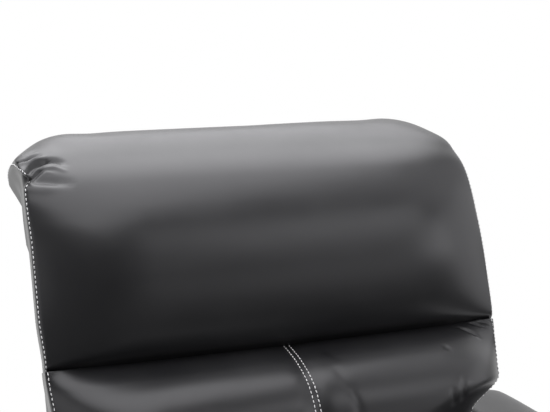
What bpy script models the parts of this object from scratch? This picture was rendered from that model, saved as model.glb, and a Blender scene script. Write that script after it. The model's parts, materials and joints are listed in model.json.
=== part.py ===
"""Recliner with a lever-driven footrest, modelled as the pieces that it comes apart into.

Metres, +Z up. The sitter faces -Y. Side-view points are written as (forward, up), with forward = -Y.
"""

import math

import bmesh
import bpy
from mathutils import Vector

# Clearances and sheet
SEAT_GAP = 0.0003  # between pieces that rest on each other
PIN_CLEARANCE = 0.0003
SHEET = 0.003
LAYER_GAP = 0.001  # between neighbouring layers of the linkage
PIN_RADIUS = 0.004
RIVET_RADIUS = 0.007
RIVET_HEIGHT = 0.002
OPEN_PIVOT_CLEARANCE = 0.0032

# Base
INSIDE_WIDTH = 0.55  # between the arms
ARM_WIDTH = 0.115
ARM_FRONT = 0.44
ARM_REAR = -0.30
ARM_TOP = 0.585
ARM_BOTTOM = 0.05
ARM_CORNER = 0.05
ARM_FOOT_CORNER = 0.015
ARM_EDGE = 0.014
ARM_FRAME_THICKNESS = 0.018
ARM_FRAME_TOP = 0.40
ARM_FRAME_INSET = 0.02
ARM_PAD_OVERHANG = 0.015  # beyond the arm's outer face
ARM_PAD_HEIGHT = 0.066
ARM_PAD_FRONT = 0.45
ARM_PAD_REAR = -0.31
ARM_PAD_END_HEIGHT = 0.45  # share of the height that the drawn-in front end keeps
ARM_PAD_TAIL_HEIGHT = 0.85  # the same share at the rear end
ARM_PAD_END_WIDTH = 0.78
ARM_PAD_END_POWER = 5
FOOT_RADIUS = 0.024
FOOT_TAPER = 0.005
FOOT_FRONT = 0.38
FOOT_REAR = -0.21
STRETCHER_THICKNESS = 0.02
STRETCHER_HEIGHT = 0.046
STRETCHER_BOTTOM = 0.052
FRONT_STRETCHER_REAR = 0.385
REAR_BASE_PANEL_HEIGHT = 0.24
REAR_BASE_PANEL_INSET = 0.002  # from the arms' rear ends
RAIL_DEPTH = 0.012
RAIL_BOTTOM = 0.17
RAIL_TOP = 0.25
RAIL_FRONT = 0.30
RAIL_END_GAP = 0.0005
TUBE_RADIUS = 0.0125
TUBE_WALL = 0.002
TUBE_HEIGHT = 0.19
FRONT_TUBE_FORWARD = -0.02
REAR_TUBE_FORWARD = -0.21

# Swing links that carry the seat
SWING_LENGTH = 0.10
SWING_LEAN = math.radians(120)
SWING_TRAVEL = math.radians(30)
SWING_PIVOT_HEIGHT = 0.20
FRONT_SWING_FORWARD = 0.12
REAR_SWING_FORWARD = -0.15
LINK_HALF_WIDTH = 0.0125

# Seat
SEAT_PLATE_BOTTOM = 0.268
SEAT_PLATE_TOP = 0.3547
SEAT_PLATE_FRONT = 0.29
SEAT_PLATE_REAR = -0.225
SEAT_PLATE_CORNER = 0.01
SEAT_FLANGE_WIDTH = 0.026
SEAT_FLANGE_FRONT = 0.28
SEAT_BOARD_THICKNESS = 0.02
SEAT_BOARD_HEIGHT = 0.05
SEAT_FRAME_FRONT = 0.38
SEAT_FRAME_REAR = -0.13
SPRING_COUNT = 4
SPRING_WAVES = 9
SPRING_POINTS_PER_WAVE = 6
SPRING_WIRE_RADIUS = 0.0018
SPRING_SWAY = 0.02
SEAT_CUSHION_CLEARANCE = 0.007  # to each arm
SEAT_CUSHION_FRONT = 0.413
SEAT_CUSHION_REAR = -0.08
SEAT_CUSHION_CROWN = 0.092
SEAT_CUSHION_DROP = 0.03  # how far its front hangs over the front board
SEAT_CUSHION_ROLL = 0.06  # length of the rounded front edge
SEAT_CUSHION_TUCK = 0.03  # length of the rounded rear edge
SEAT_CUSHION_LIP = 0.008
SEAT_CUSHION_END = 0.72  # share of the section that the ends keep

# Back
BACK_PIVOT_FORWARD = -0.19
BACK_PIVOT_HEIGHT = 0.385
BACK_RAKE = math.radians(20)
BACK_FRAME_DEPTH = 0.03
BACK_POST_WIDTH = 0.025
BACK_POST_FOOT = -0.03
BACK_RAIL_HEIGHT = 0.04
BACK_BOTTOM_RAIL = 0.03
BACK_MID_RAIL = 0.33
BACK_TOP_RAIL = 0.54
BACK_WING_FOOT = 0.315
BACK_WING_SPREAD = 0.025  # beyond the arms' inner faces
BACK_BRACKET_LENGTH = 0.17
WEBBING_THICKNESS = 0.002
WEBBING_WIDTH = 0.05
WEBBING_HEIGHTS = (0.13, 0.23, 0.43)
REAR_PANEL_THICKNESS = 0.034
REAR_PANEL_FOOT = -0.05
REAR_PANEL_TOP = 0.572
REAR_PANEL_CLEARANCE = 0.025  # to each arm
REAR_PANEL_HEAD_SPREAD = 0.025
REAR_PANEL_CORNER = 0.03
SHOULDER_START = 0.262  # where the back begins to widen above the arms
SHOULDER_END = 0.305
LUMBAR_FOOT = 0.02
LUMBAR_TOP = 0.388
LUMBAR_FOOT_CLEARANCE = 0.025  # to each arm, at the foot
LUMBAR_FOOT_HEIGHT = 0.12  # over which the foot widens between the arms
LUMBAR_CLEARANCE = 0.013  # to each arm
LUMBAR_SHOULDER_SPREAD = 0.042  # beyond the arms' inner faces
LUMBAR_DEPTH = 0.168
LUMBAR_CREST = 0.27  # height of its fullest line
LUMBAR_FOOT_DEPTH = 0.055
LUMBAR_BROW_DEPTH = 0.13  # where the top begins to roll back
LUMBAR_BROW_DROP = 0.022
LUMBAR_TOP_DEPTH = 0.075
LUMBAR_SIDE_DEPTH = 0.55  # share of the depth at the sewn side edges
LUMBAR_CHANNEL_DEPTH = 0.008
LUMBAR_CHANNEL_WIDTH = 0.022
CUSHION_SIDE_POWER = 7
PILLOW_SIDE_DEPTH = 0.62  # share of the depth at the sewn side edges
PILLOW_TOP = 0.706
PILLOW_SPREAD = 0.0495  # beyond the arms' inner faces
PILLOW_FRONT = 0.148
PILLOW_REAR = 0.06
PILLOW_CORNER = 0.055  # radius of the two top corners
BACK_SIDE_POWER = 4
PILLOW_BELLY = 0.10  # height of the fullest point above the foot
PILLOW_BROW = 0.20  # height where the front begins to roll back
PILLOW_UNDERCUT = 0.03
PILLOW_SAG = 0.012  # how far its belly hangs below the seam

# Footrest linkage
LONG_LINK_LENGTH = 0.22
LONG_LINK_ANGLE = math.radians(-130)
LONG_PIVOT = Vector((0.26, 0.325))
LINK_SPACING = 0.09  # between the long and the second link
LINK_SPACING_ANGLE = math.radians(190)
FOOTREST_PIVOT = Vector((0.385, 0.31))
CRANK_RADIUS = 0.038
CRANK_ANGLE = math.radians(62)
BRACKET_CRANK_RADIUS = 0.0456
BRACKET_CRANK_ANGLE = math.radians(63.2)
CONTROL_HALF_WIDTH = 0.010
TORQUE_RADIUS = 0.009
TORQUE_WALL = 0.002
LEVER_LENGTH = 0.17
LEVER_ANGLE = math.radians(-10)
LEVER_THICKNESS = 0.016
LEVER_HUB_RADIUS = 0.022
LEVER_TIP_RADIUS = 0.017
LEVER_STANDOFF = 0.0015
ARM_SLOT_RADIUS = 0.0155
FOOTREST_BOARD_BACK = 0.421
FOOTREST_BOARD_THICKNESS = 0.018
FOOTREST_BOARD_BOTTOM = 0.125
FOOTREST_BOARD_TOP = 0.395
FOOTREST_CLEARANCE = 0.010  # to each arm
FOOTREST_PAD_DEPTH = 0.062
FOOTREST_PAD_ROLL = 0.05  # height of the rounded upper and lower edges
FOOTREST_PAD_LIP = 0.006
FOOTREST_PAD_END = 0.7  # share of the section that the ends keep
BRACKET_FLANGE_WIDTH = 0.022
BRACKET_FLANGE_LENGTH = 0.10

ARC_STEPS = 6
HOLE_STEPS = 16
RING_STEPS = 24
CURVE_STEPS = 4

ARM_INNER = INSIDE_WIDTH / 2
ARM_OUTER = ARM_INNER + ARM_WIDTH
ARM_PAD_WIDTH = ARM_WIDTH + ARM_PAD_OVERHANG
REAR_BASE_PANEL_REAR = ARM_REAR + REAR_BASE_PANEL_INSET
RAIL_REAR = REAR_BASE_PANEL_REAR + STRETCHER_THICKNESS + RAIL_END_GAP
SEAT_CUSHION_HALF_WIDTH = ARM_INNER - SEAT_CUSHION_CLEARANCE
FOOTREST_HALF_WIDTH = ARM_INNER - FOOTREST_CLEARANCE
BACK_WING_OUTER = ARM_INNER + BACK_WING_SPREAD
REAR_PANEL_HALF_WIDTH = ARM_INNER - REAR_PANEL_CLEARANCE
REAR_PANEL_HEAD_HALF_WIDTH = ARM_INNER + REAR_PANEL_HEAD_SPREAD
LUMBAR_FOOT_HALF_WIDTH = ARM_INNER - LUMBAR_FOOT_CLEARANCE
LUMBAR_HALF_WIDTH = ARM_INNER - LUMBAR_CLEARANCE
LUMBAR_SHOULDER_HALF_WIDTH = ARM_INNER + LUMBAR_SHOULDER_SPREAD
PILLOW_HALF_WIDTH = ARM_INNER + PILLOW_SPREAD
PILLOW_FOOT = LUMBAR_TOP + SEAT_GAP
LINK_TURN = SHEET + LAYER_GAP


def clear_scene():
    for obj in list(bpy.data.objects):
        bpy.data.objects.remove(obj, do_unlink=True)


def make_material(name, colour, roughness, metallic=0.0):
    material = bpy.data.materials.new(name)
    material.use_nodes = True
    shader = material.node_tree.nodes["Principled BSDF"]
    shader.inputs["Base Color"].default_value = (*colour, 1.0)
    shader.inputs["Roughness"].default_value = roughness
    shader.inputs["Metallic"].default_value = metallic
    return material


def make_axis(name, forward, up, root, lean=0.0):
    """An empty on a joint's axis, which the pieces of that body hang from."""
    empty = bpy.data.objects.new(name, None)
    bpy.context.scene.collection.objects.link(empty)
    empty.parent = root
    empty.location = (0.0, -forward, up)
    empty.rotation_euler.x = -lean
    return empty


def add_object(name, bm, parent, material, smooth_angle=40.0):
    bmesh.ops.recalc_face_normals(bm, faces=bm.faces[:])
    mesh = bpy.data.meshes.new(name)
    bm.to_mesh(mesh)
    bm.free()
    mesh.shade_smooth()
    mesh.set_sharp_from_angle(angle=math.radians(smooth_angle))
    obj = bpy.data.objects.new(name, mesh)
    obj.data.materials.append(material)
    bpy.context.scene.collection.objects.link(obj)
    obj.parent = parent
    return obj


def hide_helper(obj):
    obj.hide_render = True
    obj.display_type = "WIRE"


def add_boolean(obj, helper, operation):
    hide_helper(helper)
    modifier = obj.modifiers.new(operation.lower(), "BOOLEAN")
    modifier.operation = operation
    modifier.solver = "EXACT"
    modifier.object = helper


def add_bevel(obj, width, segments=1):
    modifier = obj.modifiers.new("edges", "BEVEL")
    modifier.width = width
    modifier.segments = segments
    modifier.limit_method = "ANGLE"


# Outlines, as lists of 2-D points


def circle(centre, radius, steps=HOLE_STEPS):
    turn = 2 * math.pi / steps
    return [
        (centre[0] + radius * math.cos(i * turn), centre[1] + radius * math.sin(i * turn))
        for i in range(steps)
    ]


def arc(centre, radius, start, end, steps=ARC_STEPS):
    step = (end - start) / steps
    return [
        (centre[0] + radius * math.cos(start + i * step), centre[1] + radius * math.sin(start + i * step))
        for i in range(steps + 1)
    ]


def rectangle(left, right, bottom, top):
    return [(left, bottom), (right, bottom), (right, top), (left, top)]


def rounded(corners, radii):
    """A polygon whose corners are arcs that touch both of their edges."""
    outline = []
    count = len(corners)
    for i in range(count):
        corner = Vector(corners[i])
        before = (Vector(corners[i - 1]) - corner).normalized()
        after = (Vector(corners[(i + 1) % count]) - corner).normalized()
        half = before.angle(after) / 2
        start = corner + before * radii[i] / math.tan(half)
        end = corner + after * radii[i] / math.tan(half)
        centre = corner + (before + after).normalized() * radii[i] / math.sin(half)
        first = math.atan2(start.y - centre.y, start.x - centre.x)
        last = math.atan2(end.y - centre.y, end.x - centre.x)
        sweep = (last - first + math.pi) % (2 * math.pi) - math.pi
        outline += arc(centre, radii[i], first, first + sweep)
    return outline


def bar(points, half_width):
    """The outline of a flat bar along a bent line, with round ends."""
    line = [Vector(p) for p in points]
    left, right = [], []
    for i in range(1, len(line) - 1):
        before = (line[i] - line[i - 1]).normalized()
        after = (line[i + 1] - line[i]).normalized()
        across = (before + after).normalized().orthogonal()
        reach = half_width / math.cos(before.angle(after) / 2)
        left.append(tuple(line[i] + across * reach))
        right.insert(0, tuple(line[i] - across * reach))
    tail = math.atan2(line[1].y - line[0].y, line[1].x - line[0].x)
    head = math.atan2(line[-1].y - line[-2].y, line[-1].x - line[-2].x)
    quarter = math.pi / 2
    start = arc(line[0], half_width, tail + quarter, tail + 3 * quarter)
    end = arc(line[-1], half_width, head - quarter, head + quarter)
    return start + right[::-1] + end + left[::-1]


def taper(first, first_radius, second, second_radius):
    """The outline round two circles."""
    along = Vector(second) - Vector(first)
    heading = math.atan2(along.y, along.x)
    lean = math.acos((first_radius - second_radius) / along.length)
    start = arc(first, first_radius, heading + lean, heading + 2 * math.pi - lean)
    return start + arc(second, second_radius, heading - lean, heading + lean)


def smooth_line(points, steps):
    """Points along a Catmull-Rom curve through the given ones."""
    knots = [Vector(p) for p in points]
    knots = [2 * knots[0] - knots[1], *knots, 2 * knots[-1] - knots[-2]]
    line = []
    for i in range(1, len(knots) - 2):
        for j in range(steps):
            t = j / steps
            bend = 2 * knots[i] + (knots[i + 1] - knots[i - 1]) * t
            bend += (2 * knots[i - 1] - 5 * knots[i] + 4 * knots[i + 1] - knots[i + 2]) * t**2
            bend += (3 * knots[i] - knots[i - 1] - 3 * knots[i + 1] + knots[i + 2]) * t**3
            line.append(tuple(bend / 2))
    return [*line, tuple(knots[-2])]


# Solids


def side_point(point, x):
    return Vector((x, -point[0], point[1]))


def front_point(point, y):
    return Vector((point[0], y, point[1]))


def extrude(loops, start, end, place=side_point):
    """A plate from a flat outline and its holes, between two planes."""
    bm = bmesh.new()
    for loop in loops:
        verts = [bm.verts.new(place(p, start)) for p in loop]
        for i in range(len(verts)):
            bm.edges.new((verts[i - 1], verts[i]))
    bmesh.ops.triangle_fill(bm, use_beauty=True, use_dissolve=False, edges=bm.edges[:])
    grown = bmesh.ops.extrude_face_region(bm, geom=bm.faces[:])
    moved = [item for item in grown["geom"] if isinstance(item, bmesh.types.BMVert)]
    bmesh.ops.translate(bm, verts=moved, vec=place((0, 0), end) - place((0, 0), start))
    return bm


def loft(rings):
    """A closed solid through rings of equally many points, with flat ends."""
    bm = bmesh.new()
    rows = [[bm.verts.new(p) for p in ring] for ring in rings]
    for lower, upper in zip(rows, rows[1:]):
        for i in range(len(lower)):
            bm.faces.new((lower[i - 1], lower[i], upper[i], upper[i - 1]))
    bm.faces.new(rows[0])
    bm.faces.new(rows[-1])
    return bm


def box(x_range, y_range, z_range):
    bm = bmesh.new()
    bmesh.ops.create_cube(bm, size=1.0)
    for vert in bm.verts:
        vert.co = Vector(
            low + (high - low) * (value + 0.5)
            for value, (low, high) in zip(vert.co, (x_range, y_range, z_range))
        )
    return bm


def relative(points, origin):
    """Side-view points measured from a joint's axis."""
    return [(p[0] - origin[0], p[1] - origin[1]) for p in points]


def layer(index, side):
    """The x range of one layer of the linkage, counted inward from the base rail's web."""
    outer = ARM_INNER - RAIL_DEPTH + SHEET - index * LINK_TURN
    return sorted((side * outer, side * (outer - SHEET)))


def rivet(carrier, through, centre, side, parent, steel):
    """A pin standing in one layer, through another, with its head beyond."""
    inward = 1 if through > carrier else -1
    carrier_middle = sum(layer(carrier, side)) / 2
    far = side * min(abs(x) for x in layer(through, side))
    if inward < 0:
        far = side * max(abs(x) for x in layer(through, side))
    head_start = far - side * inward * SEAT_GAP
    head_end = head_start - side * inward * RIVET_HEIGHT
    pin = extrude([circle(centre, PIN_RADIUS)], carrier_middle, head_end)
    pin_object = add_object("pin_helper", pin, parent, steel)
    head = extrude([circle(centre, RIVET_RADIUS)], head_start, head_end)
    head_object = add_object("rivet_helper", head, parent, steel)
    hide_helper(head_object)
    return pin_object, head_object


def add_link(name, outline, holes, level, side, parent, steel, pins=()):
    """A sheet steel link with its holes and the rivets that it carries."""
    start, end = layer(level, side)
    obj = add_object(name, extrude([outline, *holes], start, end), parent, steel)
    for through, centre in pins:
        for helper in rivet(level, through, centre, side, parent, steel):
            add_boolean(obj, helper, "UNION")
    return obj


def pin_hole(centre, clearance=PIN_CLEARANCE):
    return circle(centre, PIN_RADIUS + clearance)


def polar(radius, angle):
    return Vector((radius * math.cos(angle), radius * math.sin(angle)))


# Places that several pieces share

SPACING = polar(LINK_SPACING, LINK_SPACING_ANGLE)
SECOND_PIVOT = LONG_PIVOT + SPACING
KNEE = LONG_PIVOT + polar(LONG_LINK_LENGTH, LONG_LINK_ANGLE)
SECOND_KNEE = KNEE + SPACING
CRANK_PIN = KNEE + polar(CRANK_RADIUS, CRANK_ANGLE)
BRACKET_PIN = FOOTREST_PIVOT + polar(BRACKET_CRANK_RADIUS, BRACKET_CRANK_ANGLE)
SWING_REACH = polar(SWING_LENGTH, SWING_LEAN)
FRONT_SWING_PIVOT = Vector((FRONT_SWING_FORWARD, SWING_PIVOT_HEIGHT))
REAR_SWING_PIVOT = Vector((REAR_SWING_FORWARD, SWING_PIVOT_HEIGHT))
FRONT_SEAT_PIVOT = FRONT_SWING_PIVOT + SWING_REACH
REAR_SEAT_PIVOT = REAR_SWING_PIVOT + SWING_REACH
SEAT_TRAVEL = polar(SWING_LENGTH, SWING_LEAN - SWING_TRAVEL) - SWING_REACH
BACK_PIVOT = Vector((BACK_PIVOT_FORWARD, BACK_PIVOT_HEIGHT))
SEAT_FRAME_BOTTOM = SEAT_PLATE_TOP + SEAT_GAP
SEAT_FRAME_TOP = SEAT_FRAME_BOTTOM + SEAT_BOARD_HEIGHT
SPRING_LEVEL = SEAT_FRAME_TOP + SEAT_GAP + SPRING_WIRE_RADIUS
SEAT_CUSHION_BOTTOM = SPRING_LEVEL + SPRING_WIRE_RADIUS + SEAT_GAP
CUSHION_PLANE = BACK_FRAME_DEPTH / 2 + WEBBING_THICKNESS + 2 * SEAT_GAP


def build_arm(side, label, base, leather, wood):
    inner, outer = side * ARM_INNER, side * ARM_OUTER
    corners = [
        (ARM_REAR, ARM_BOTTOM),
        (ARM_FRONT, ARM_BOTTOM),
        (ARM_FRONT, ARM_TOP),
        (ARM_REAR, ARM_TOP),
    ]
    radii = (ARM_FOOT_CORNER, ARM_FOOT_CORNER, ARM_CORNER, ARM_CORNER)
    cover = add_object(
        f"{label}_arm_cover", extrude([rounded(corners, radii)], inner, outer), base, leather
    )
    add_bevel(cover, ARM_EDGE, 2)
    board_inner = inner
    board_outer = inner + side * ARM_FRAME_THICKNESS
    recess = box(
        sorted((inner - side * ARM_EDGE, board_outer + side * SEAT_GAP)),
        (-ARM_FRONT + ARM_FRAME_INSET - SEAT_GAP, -ARM_REAR - ARM_FRAME_INSET + SEAT_GAP),
        (ARM_BOTTOM - ARM_EDGE, ARM_FRAME_TOP + SEAT_GAP),
    )
    add_boolean(cover, add_object("recess_helper", recess, base, wood), "DIFFERENCE")
    frame_outline = rectangle(
        ARM_REAR + ARM_FRAME_INSET, ARM_FRONT - ARM_FRAME_INSET, ARM_BOTTOM, ARM_FRAME_TOP
    )
    frame = add_object(
        f"{label}_arm_frame", extrude([frame_outline], board_inner, board_outer), base, wood
    )
    if side < 0:
        slot = bar([LONG_PIVOT, LONG_PIVOT + SEAT_TRAVEL], ARM_SLOT_RADIUS)
        cutter = extrude([slot], inner - side * ARM_EDGE, outer + side * ARM_EDGE)
        cutter_object = add_object("slot_helper", cutter, base, wood)
        add_boolean(cover, cutter_object, "DIFFERENCE")
        add_boolean(frame, cutter_object, "DIFFERENCE")


def build_arm_pad(side, label, base, leather):
    """A loaf-shaped pad: a flat foot, a crowned top and drawn-in ends."""
    middle = side * (ARM_INNER + ARM_PAD_WIDTH / 2)
    foot = ARM_TOP + SEAT_GAP
    length = ARM_PAD_FRONT - ARM_PAD_REAR
    rings = []
    for i in range(RING_STEPS // 2 + 1):
        along = -math.cos(math.pi * i / (RING_STEPS // 2))
        fullness = superellipse(along, ARM_PAD_END_POWER)
        least = ARM_PAD_END_HEIGHT if along > 0 else ARM_PAD_TAIL_HEIGHT
        draw = least + (1 - least) * fullness
        width = ARM_PAD_WIDTH * (ARM_PAD_END_WIDTH + (1 - ARM_PAD_END_WIDTH) * fullness)
        forward = (ARM_PAD_FRONT + ARM_PAD_REAR) / 2 + along * length / 2
        ring = []
        for turn in range(RING_STEPS // 2 + 1):
            angle = math.pi * turn / (RING_STEPS // 2)
            across = math.copysign(abs(math.cos(angle)) ** 0.5, math.cos(angle))
            rise = abs(math.sin(angle)) ** 0.7
            ring.append((middle + across * width / 2, -forward, foot + rise * draw * ARM_PAD_HEIGHT))
        rings.append(ring)
    add_object(f"{label}_arm_pad", loft(rings), base, leather)


def build_base(root, leather, wood, steel, plastic):
    base = make_axis("base_axis", 0.0, 0.0, root)
    for side, label in ((1, "left"), (-1, "right")):
        build_arm(side, label, base, leather, wood)
        build_arm_pad(side, label, base, leather)
        build_base_rail(side, label, base, steel)
        for forward, end in ((FOOT_FRONT, "front"), (FOOT_REAR, "rear")):
            middle = side * (ARM_INNER + ARM_OUTER) / 2
            build_foot(f"{end}_{label}_foot", middle, forward, base, plastic)
    build_stretcher("front_stretcher", FRONT_STRETCHER_REAR, STRETCHER_HEIGHT, base, wood)
    build_stretcher("rear_base_panel", REAR_BASE_PANEL_REAR, REAR_BASE_PANEL_HEIGHT, base, leather)
    build_cross_tube("front_cross_tube", FRONT_TUBE_FORWARD, base, steel)
    build_cross_tube("rear_cross_tube", REAR_TUBE_FORWARD, base, steel)


def build_foot(name, x, forward, base, plastic):
    height = ARM_BOTTOM - SEAT_GAP
    bm = bmesh.new()
    bmesh.ops.create_cone(
        bm,
        cap_ends=True,
        segments=RING_STEPS,
        radius1=FOOT_RADIUS - FOOT_TAPER,
        radius2=FOOT_RADIUS,
        depth=height,
    )
    foot = add_object(name, bm, base, plastic)
    foot.location = (x, -forward, height / 2)


def build_stretcher(name, rear, height, base, material):
    half = ARM_INNER - SEAT_GAP
    bm = box(
        (-half, half),
        (-rear - STRETCHER_THICKNESS, -rear),
        (STRETCHER_BOTTOM, STRETCHER_BOTTOM + height),
    )
    add_object(name, bm, base, material)


def build_base_rail(side, label, base, steel):
    """A channel with its flanges towards the arm and the swing pivots' holes in its web."""
    web_inner, flange_edge = ARM_INNER - RAIL_DEPTH, ARM_INNER - SEAT_GAP
    outline = [
        (web_inner, RAIL_BOTTOM),
        (flange_edge, RAIL_BOTTOM),
        (flange_edge, RAIL_BOTTOM + SHEET),
        (web_inner + SHEET, RAIL_BOTTOM + SHEET),
        (web_inner + SHEET, RAIL_TOP - SHEET),
        (flange_edge, RAIL_TOP - SHEET),
        (flange_edge, RAIL_TOP),
        (web_inner, RAIL_TOP),
    ]
    outline = [(side * x, z) for x, z in outline]
    bm = extrude([outline], -RAIL_FRONT, -RAIL_REAR, front_point)
    rail = add_object(f"{label}_base_rail", bm, base, steel)
    for pivot in (FRONT_SWING_PIVOT, REAR_SWING_PIVOT):
        cutter = extrude([pin_hole(pivot)], side * (web_inner - SHEET), side * (web_inner + 2 * SHEET))
        add_boolean(rail, add_object("hole_helper", cutter, base, steel), "DIFFERENCE")


def build_cross_tube(name, forward, base, steel):
    half = ARM_INNER - RAIL_DEPTH - SEAT_GAP
    centre = (forward, TUBE_HEIGHT)
    loops = [
        circle(centre, TUBE_RADIUS, RING_STEPS),
        circle(centre, TUBE_RADIUS - TUBE_WALL, RING_STEPS),
    ]
    add_object(name, extrude(loops, -half, half), base, steel)


def build_swing_links(name, pivot, root, steel):
    axis = make_axis(f"{name}_axis", *pivot, root)
    for side, label in ((1, "left"), (-1, "right")):
        ends = relative([pivot, pivot + SWING_REACH], pivot)
        add_link(
            f"{label}_{name}_link",
            bar(ends, LINK_HALF_WIDTH),
            [],
            1,
            side,
            axis,
            steel,
            pins=((0, ends[0]), (2, ends[1])),
        )


def build_seat(root, leather, wood, steel):
    seat = make_axis("seat_axis", *FRONT_SEAT_PIVOT, root)
    for side, label in ((1, "left"), (-1, "right")):
        build_seat_plate(side, label, seat, steel)
    build_seat_frame(seat, wood)
    build_seat_springs(seat, steel)
    build_seat_cushion(seat, leather)


def build_seat_plate(side, label, seat, steel):
    ear = LINK_HALF_WIDTH * 2
    ear_top = BACK_PIVOT_HEIGHT + ear
    corners = [
        (SEAT_PLATE_FRONT, SEAT_PLATE_BOTTOM),
        (SEAT_PLATE_FRONT, SEAT_PLATE_TOP),
        (SEAT_FRAME_REAR - SEAT_PLATE_CORNER, SEAT_PLATE_TOP),
        (BACK_PIVOT_FORWARD + ear, ear_top),
        (BACK_PIVOT_FORWARD - ear, ear_top),
        (SEAT_PLATE_REAR, SEAT_PLATE_BOTTOM),
    ]
    outline = rounded(relative(corners, FRONT_SEAT_PIVOT), [SEAT_PLATE_CORNER] * len(corners))
    pivots = (SECOND_PIVOT, FRONT_SEAT_PIVOT, REAR_SEAT_PIVOT, BACK_PIVOT)
    holes = [pin_hole(p) for p in relative(pivots, FRONT_SEAT_PIVOT)]
    holes += [
        circle(p, TORQUE_RADIUS + PIN_CLEARANCE, RING_STEPS)
        for p in relative([LONG_PIVOT], FRONT_SEAT_PIVOT)
    ]
    plate = add_link(f"{label}_seat_plate", outline, holes, 2, side, seat, steel)
    web = layer(2, side)
    outer_face = side * max(abs(x) for x in web)
    flange = box(
        sorted((outer_face, outer_face - side * SEAT_FLANGE_WIDTH)),
        (FRONT_SEAT_PIVOT[0] - SEAT_FLANGE_FRONT, FRONT_SEAT_PIVOT[0] - SEAT_FRAME_REAR),
        (
            SEAT_PLATE_TOP - SHEET - FRONT_SEAT_PIVOT[1],
            SEAT_PLATE_TOP - FRONT_SEAT_PIVOT[1],
        ),
    )
    add_boolean(plate, add_object("flange_helper", flange, seat, steel), "UNION")


def seat_box(x_range, forward_range, z_range):
    """A box given by its forward and height ranges, measured from the seat's axis."""
    return box(
        x_range,
        (FRONT_SEAT_PIVOT[0] - forward_range[1], FRONT_SEAT_PIVOT[0] - forward_range[0]),
        (z_range[0] - FRONT_SEAT_PIVOT[1], z_range[1] - FRONT_SEAT_PIVOT[1]),
    )


def build_seat_frame(seat, wood):
    height = (SEAT_FRAME_BOTTOM, SEAT_FRAME_TOP)
    outer = max(abs(x) for x in layer(2, 1)) - SEAT_GAP
    inner = outer - SEAT_BOARD_THICKNESS
    front_joint = SEAT_FRAME_FRONT - SEAT_BOARD_THICKNESS - SEAT_GAP
    rear_joint = SEAT_FRAME_REAR + SEAT_BOARD_THICKNESS + SEAT_GAP
    for side, label in ((1, "left"), (-1, "right")):
        board = seat_box(sorted((side * inner, side * outer)), (rear_joint, front_joint), height)
        add_object(f"{label}_seat_board", board, seat, wood)
    front = seat_box((-outer, outer), (front_joint + SEAT_GAP, SEAT_FRAME_FRONT), height)
    add_object("front_seat_board", front, seat, wood)
    rear = seat_box((-outer, outer), (SEAT_FRAME_REAR, rear_joint - SEAT_GAP), height)
    add_object("rear_seat_board", rear, seat, wood)


def build_seat_springs(seat, steel):
    """Sinuous springs that run from the front board to the rear one."""
    inner = max(abs(x) for x in layer(2, 1)) - SEAT_BOARD_THICKNESS
    pitch = 2 * inner / SPRING_COUNT
    start = SEAT_FRAME_FRONT - SEAT_BOARD_THICKNESS / 2
    end = SEAT_FRAME_REAR + SEAT_BOARD_THICKNESS / 2
    count = SPRING_WAVES * SPRING_POINTS_PER_WAVE
    for number in range(SPRING_COUNT):
        middle = (number - (SPRING_COUNT - 1) / 2) * pitch
        curve = bpy.data.curves.new(f"seat_spring_{number + 1}", "CURVE")
        curve.dimensions = "3D"
        curve.bevel_depth = SPRING_WIRE_RADIUS
        curve.bevel_resolution = 0
        curve.use_fill_caps = True
        spline = curve.splines.new("POLY")
        spline.points.add(count)
        for i, point in enumerate(spline.points):
            sway = SPRING_SWAY * math.sin(2 * math.pi * i / SPRING_POINTS_PER_WAVE)
            forward = start + (end - start) * i / count
            height = SPRING_LEVEL - FRONT_SEAT_PIVOT[1]
            point.co = (middle + sway, FRONT_SEAT_PIVOT[0] - forward, height, 1.0)
        spring = bpy.data.objects.new(curve.name, curve)
        curve.materials.append(steel)
        bpy.context.scene.collection.objects.link(spring)
        spring.parent = seat


def superellipse(along, power):
    """From 1 in the middle of a cushion to 0 at its two ends, with rounded shoulders."""
    return (1 - abs(along) ** power) ** (1 / power)


def side_loft(profile, anchor, half_width, power, least, origin):
    """A cushion made of one side-view outline, drawn in towards an anchor at both ends."""
    rings = []
    for i in range(RING_STEPS + 1):
        along = -math.cos(math.pi * i / RING_STEPS)
        draw = least + (1 - least) * superellipse(along, power)
        ring = []
        for point in profile:
            forward = anchor[0] + draw * (point[0] - anchor[0]) - origin[0]
            up = anchor[1] + draw * (point[1] - anchor[1]) - origin[1]
            ring.append((along * half_width, -forward, up))
        rings.append(ring)
    return loft(rings)


def build_seat_cushion(seat, leather):
    foot = SEAT_CUSHION_BOTTOM
    crown = foot + SEAT_CUSHION_CROWN
    hang = SEAT_FRAME_FRONT + SEAT_GAP
    over = smooth_line(
        [
            (hang, foot - SEAT_CUSHION_DROP),
            (SEAT_CUSHION_FRONT - SEAT_CUSHION_LIP, foot - SEAT_CUSHION_DROP / 2),
            (SEAT_CUSHION_FRONT, foot + SEAT_CUSHION_CROWN / 3),
            (SEAT_CUSHION_FRONT - SEAT_CUSHION_ROLL, crown - SEAT_CUSHION_LIP),
            ((SEAT_CUSHION_FRONT + SEAT_CUSHION_REAR) / 2, crown),
            (SEAT_CUSHION_REAR + SEAT_CUSHION_TUCK, crown - SEAT_CUSHION_TUCK / 2),
            (SEAT_CUSHION_REAR, foot + SEAT_CUSHION_CROWN / 2),
            (SEAT_CUSHION_REAR + SEAT_CUSHION_TUCK / 2, foot),
        ],
        CURVE_STEPS,
    )
    corner = (hang, foot)
    bm = side_loft(
        [*over, corner],
        corner,
        SEAT_CUSHION_HALF_WIDTH,
        CUSHION_SIDE_POWER,
        SEAT_CUSHION_END,
        FRONT_SEAT_PIVOT,
    )
    add_object("seat_cushion", bm, seat, leather, 70)


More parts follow.
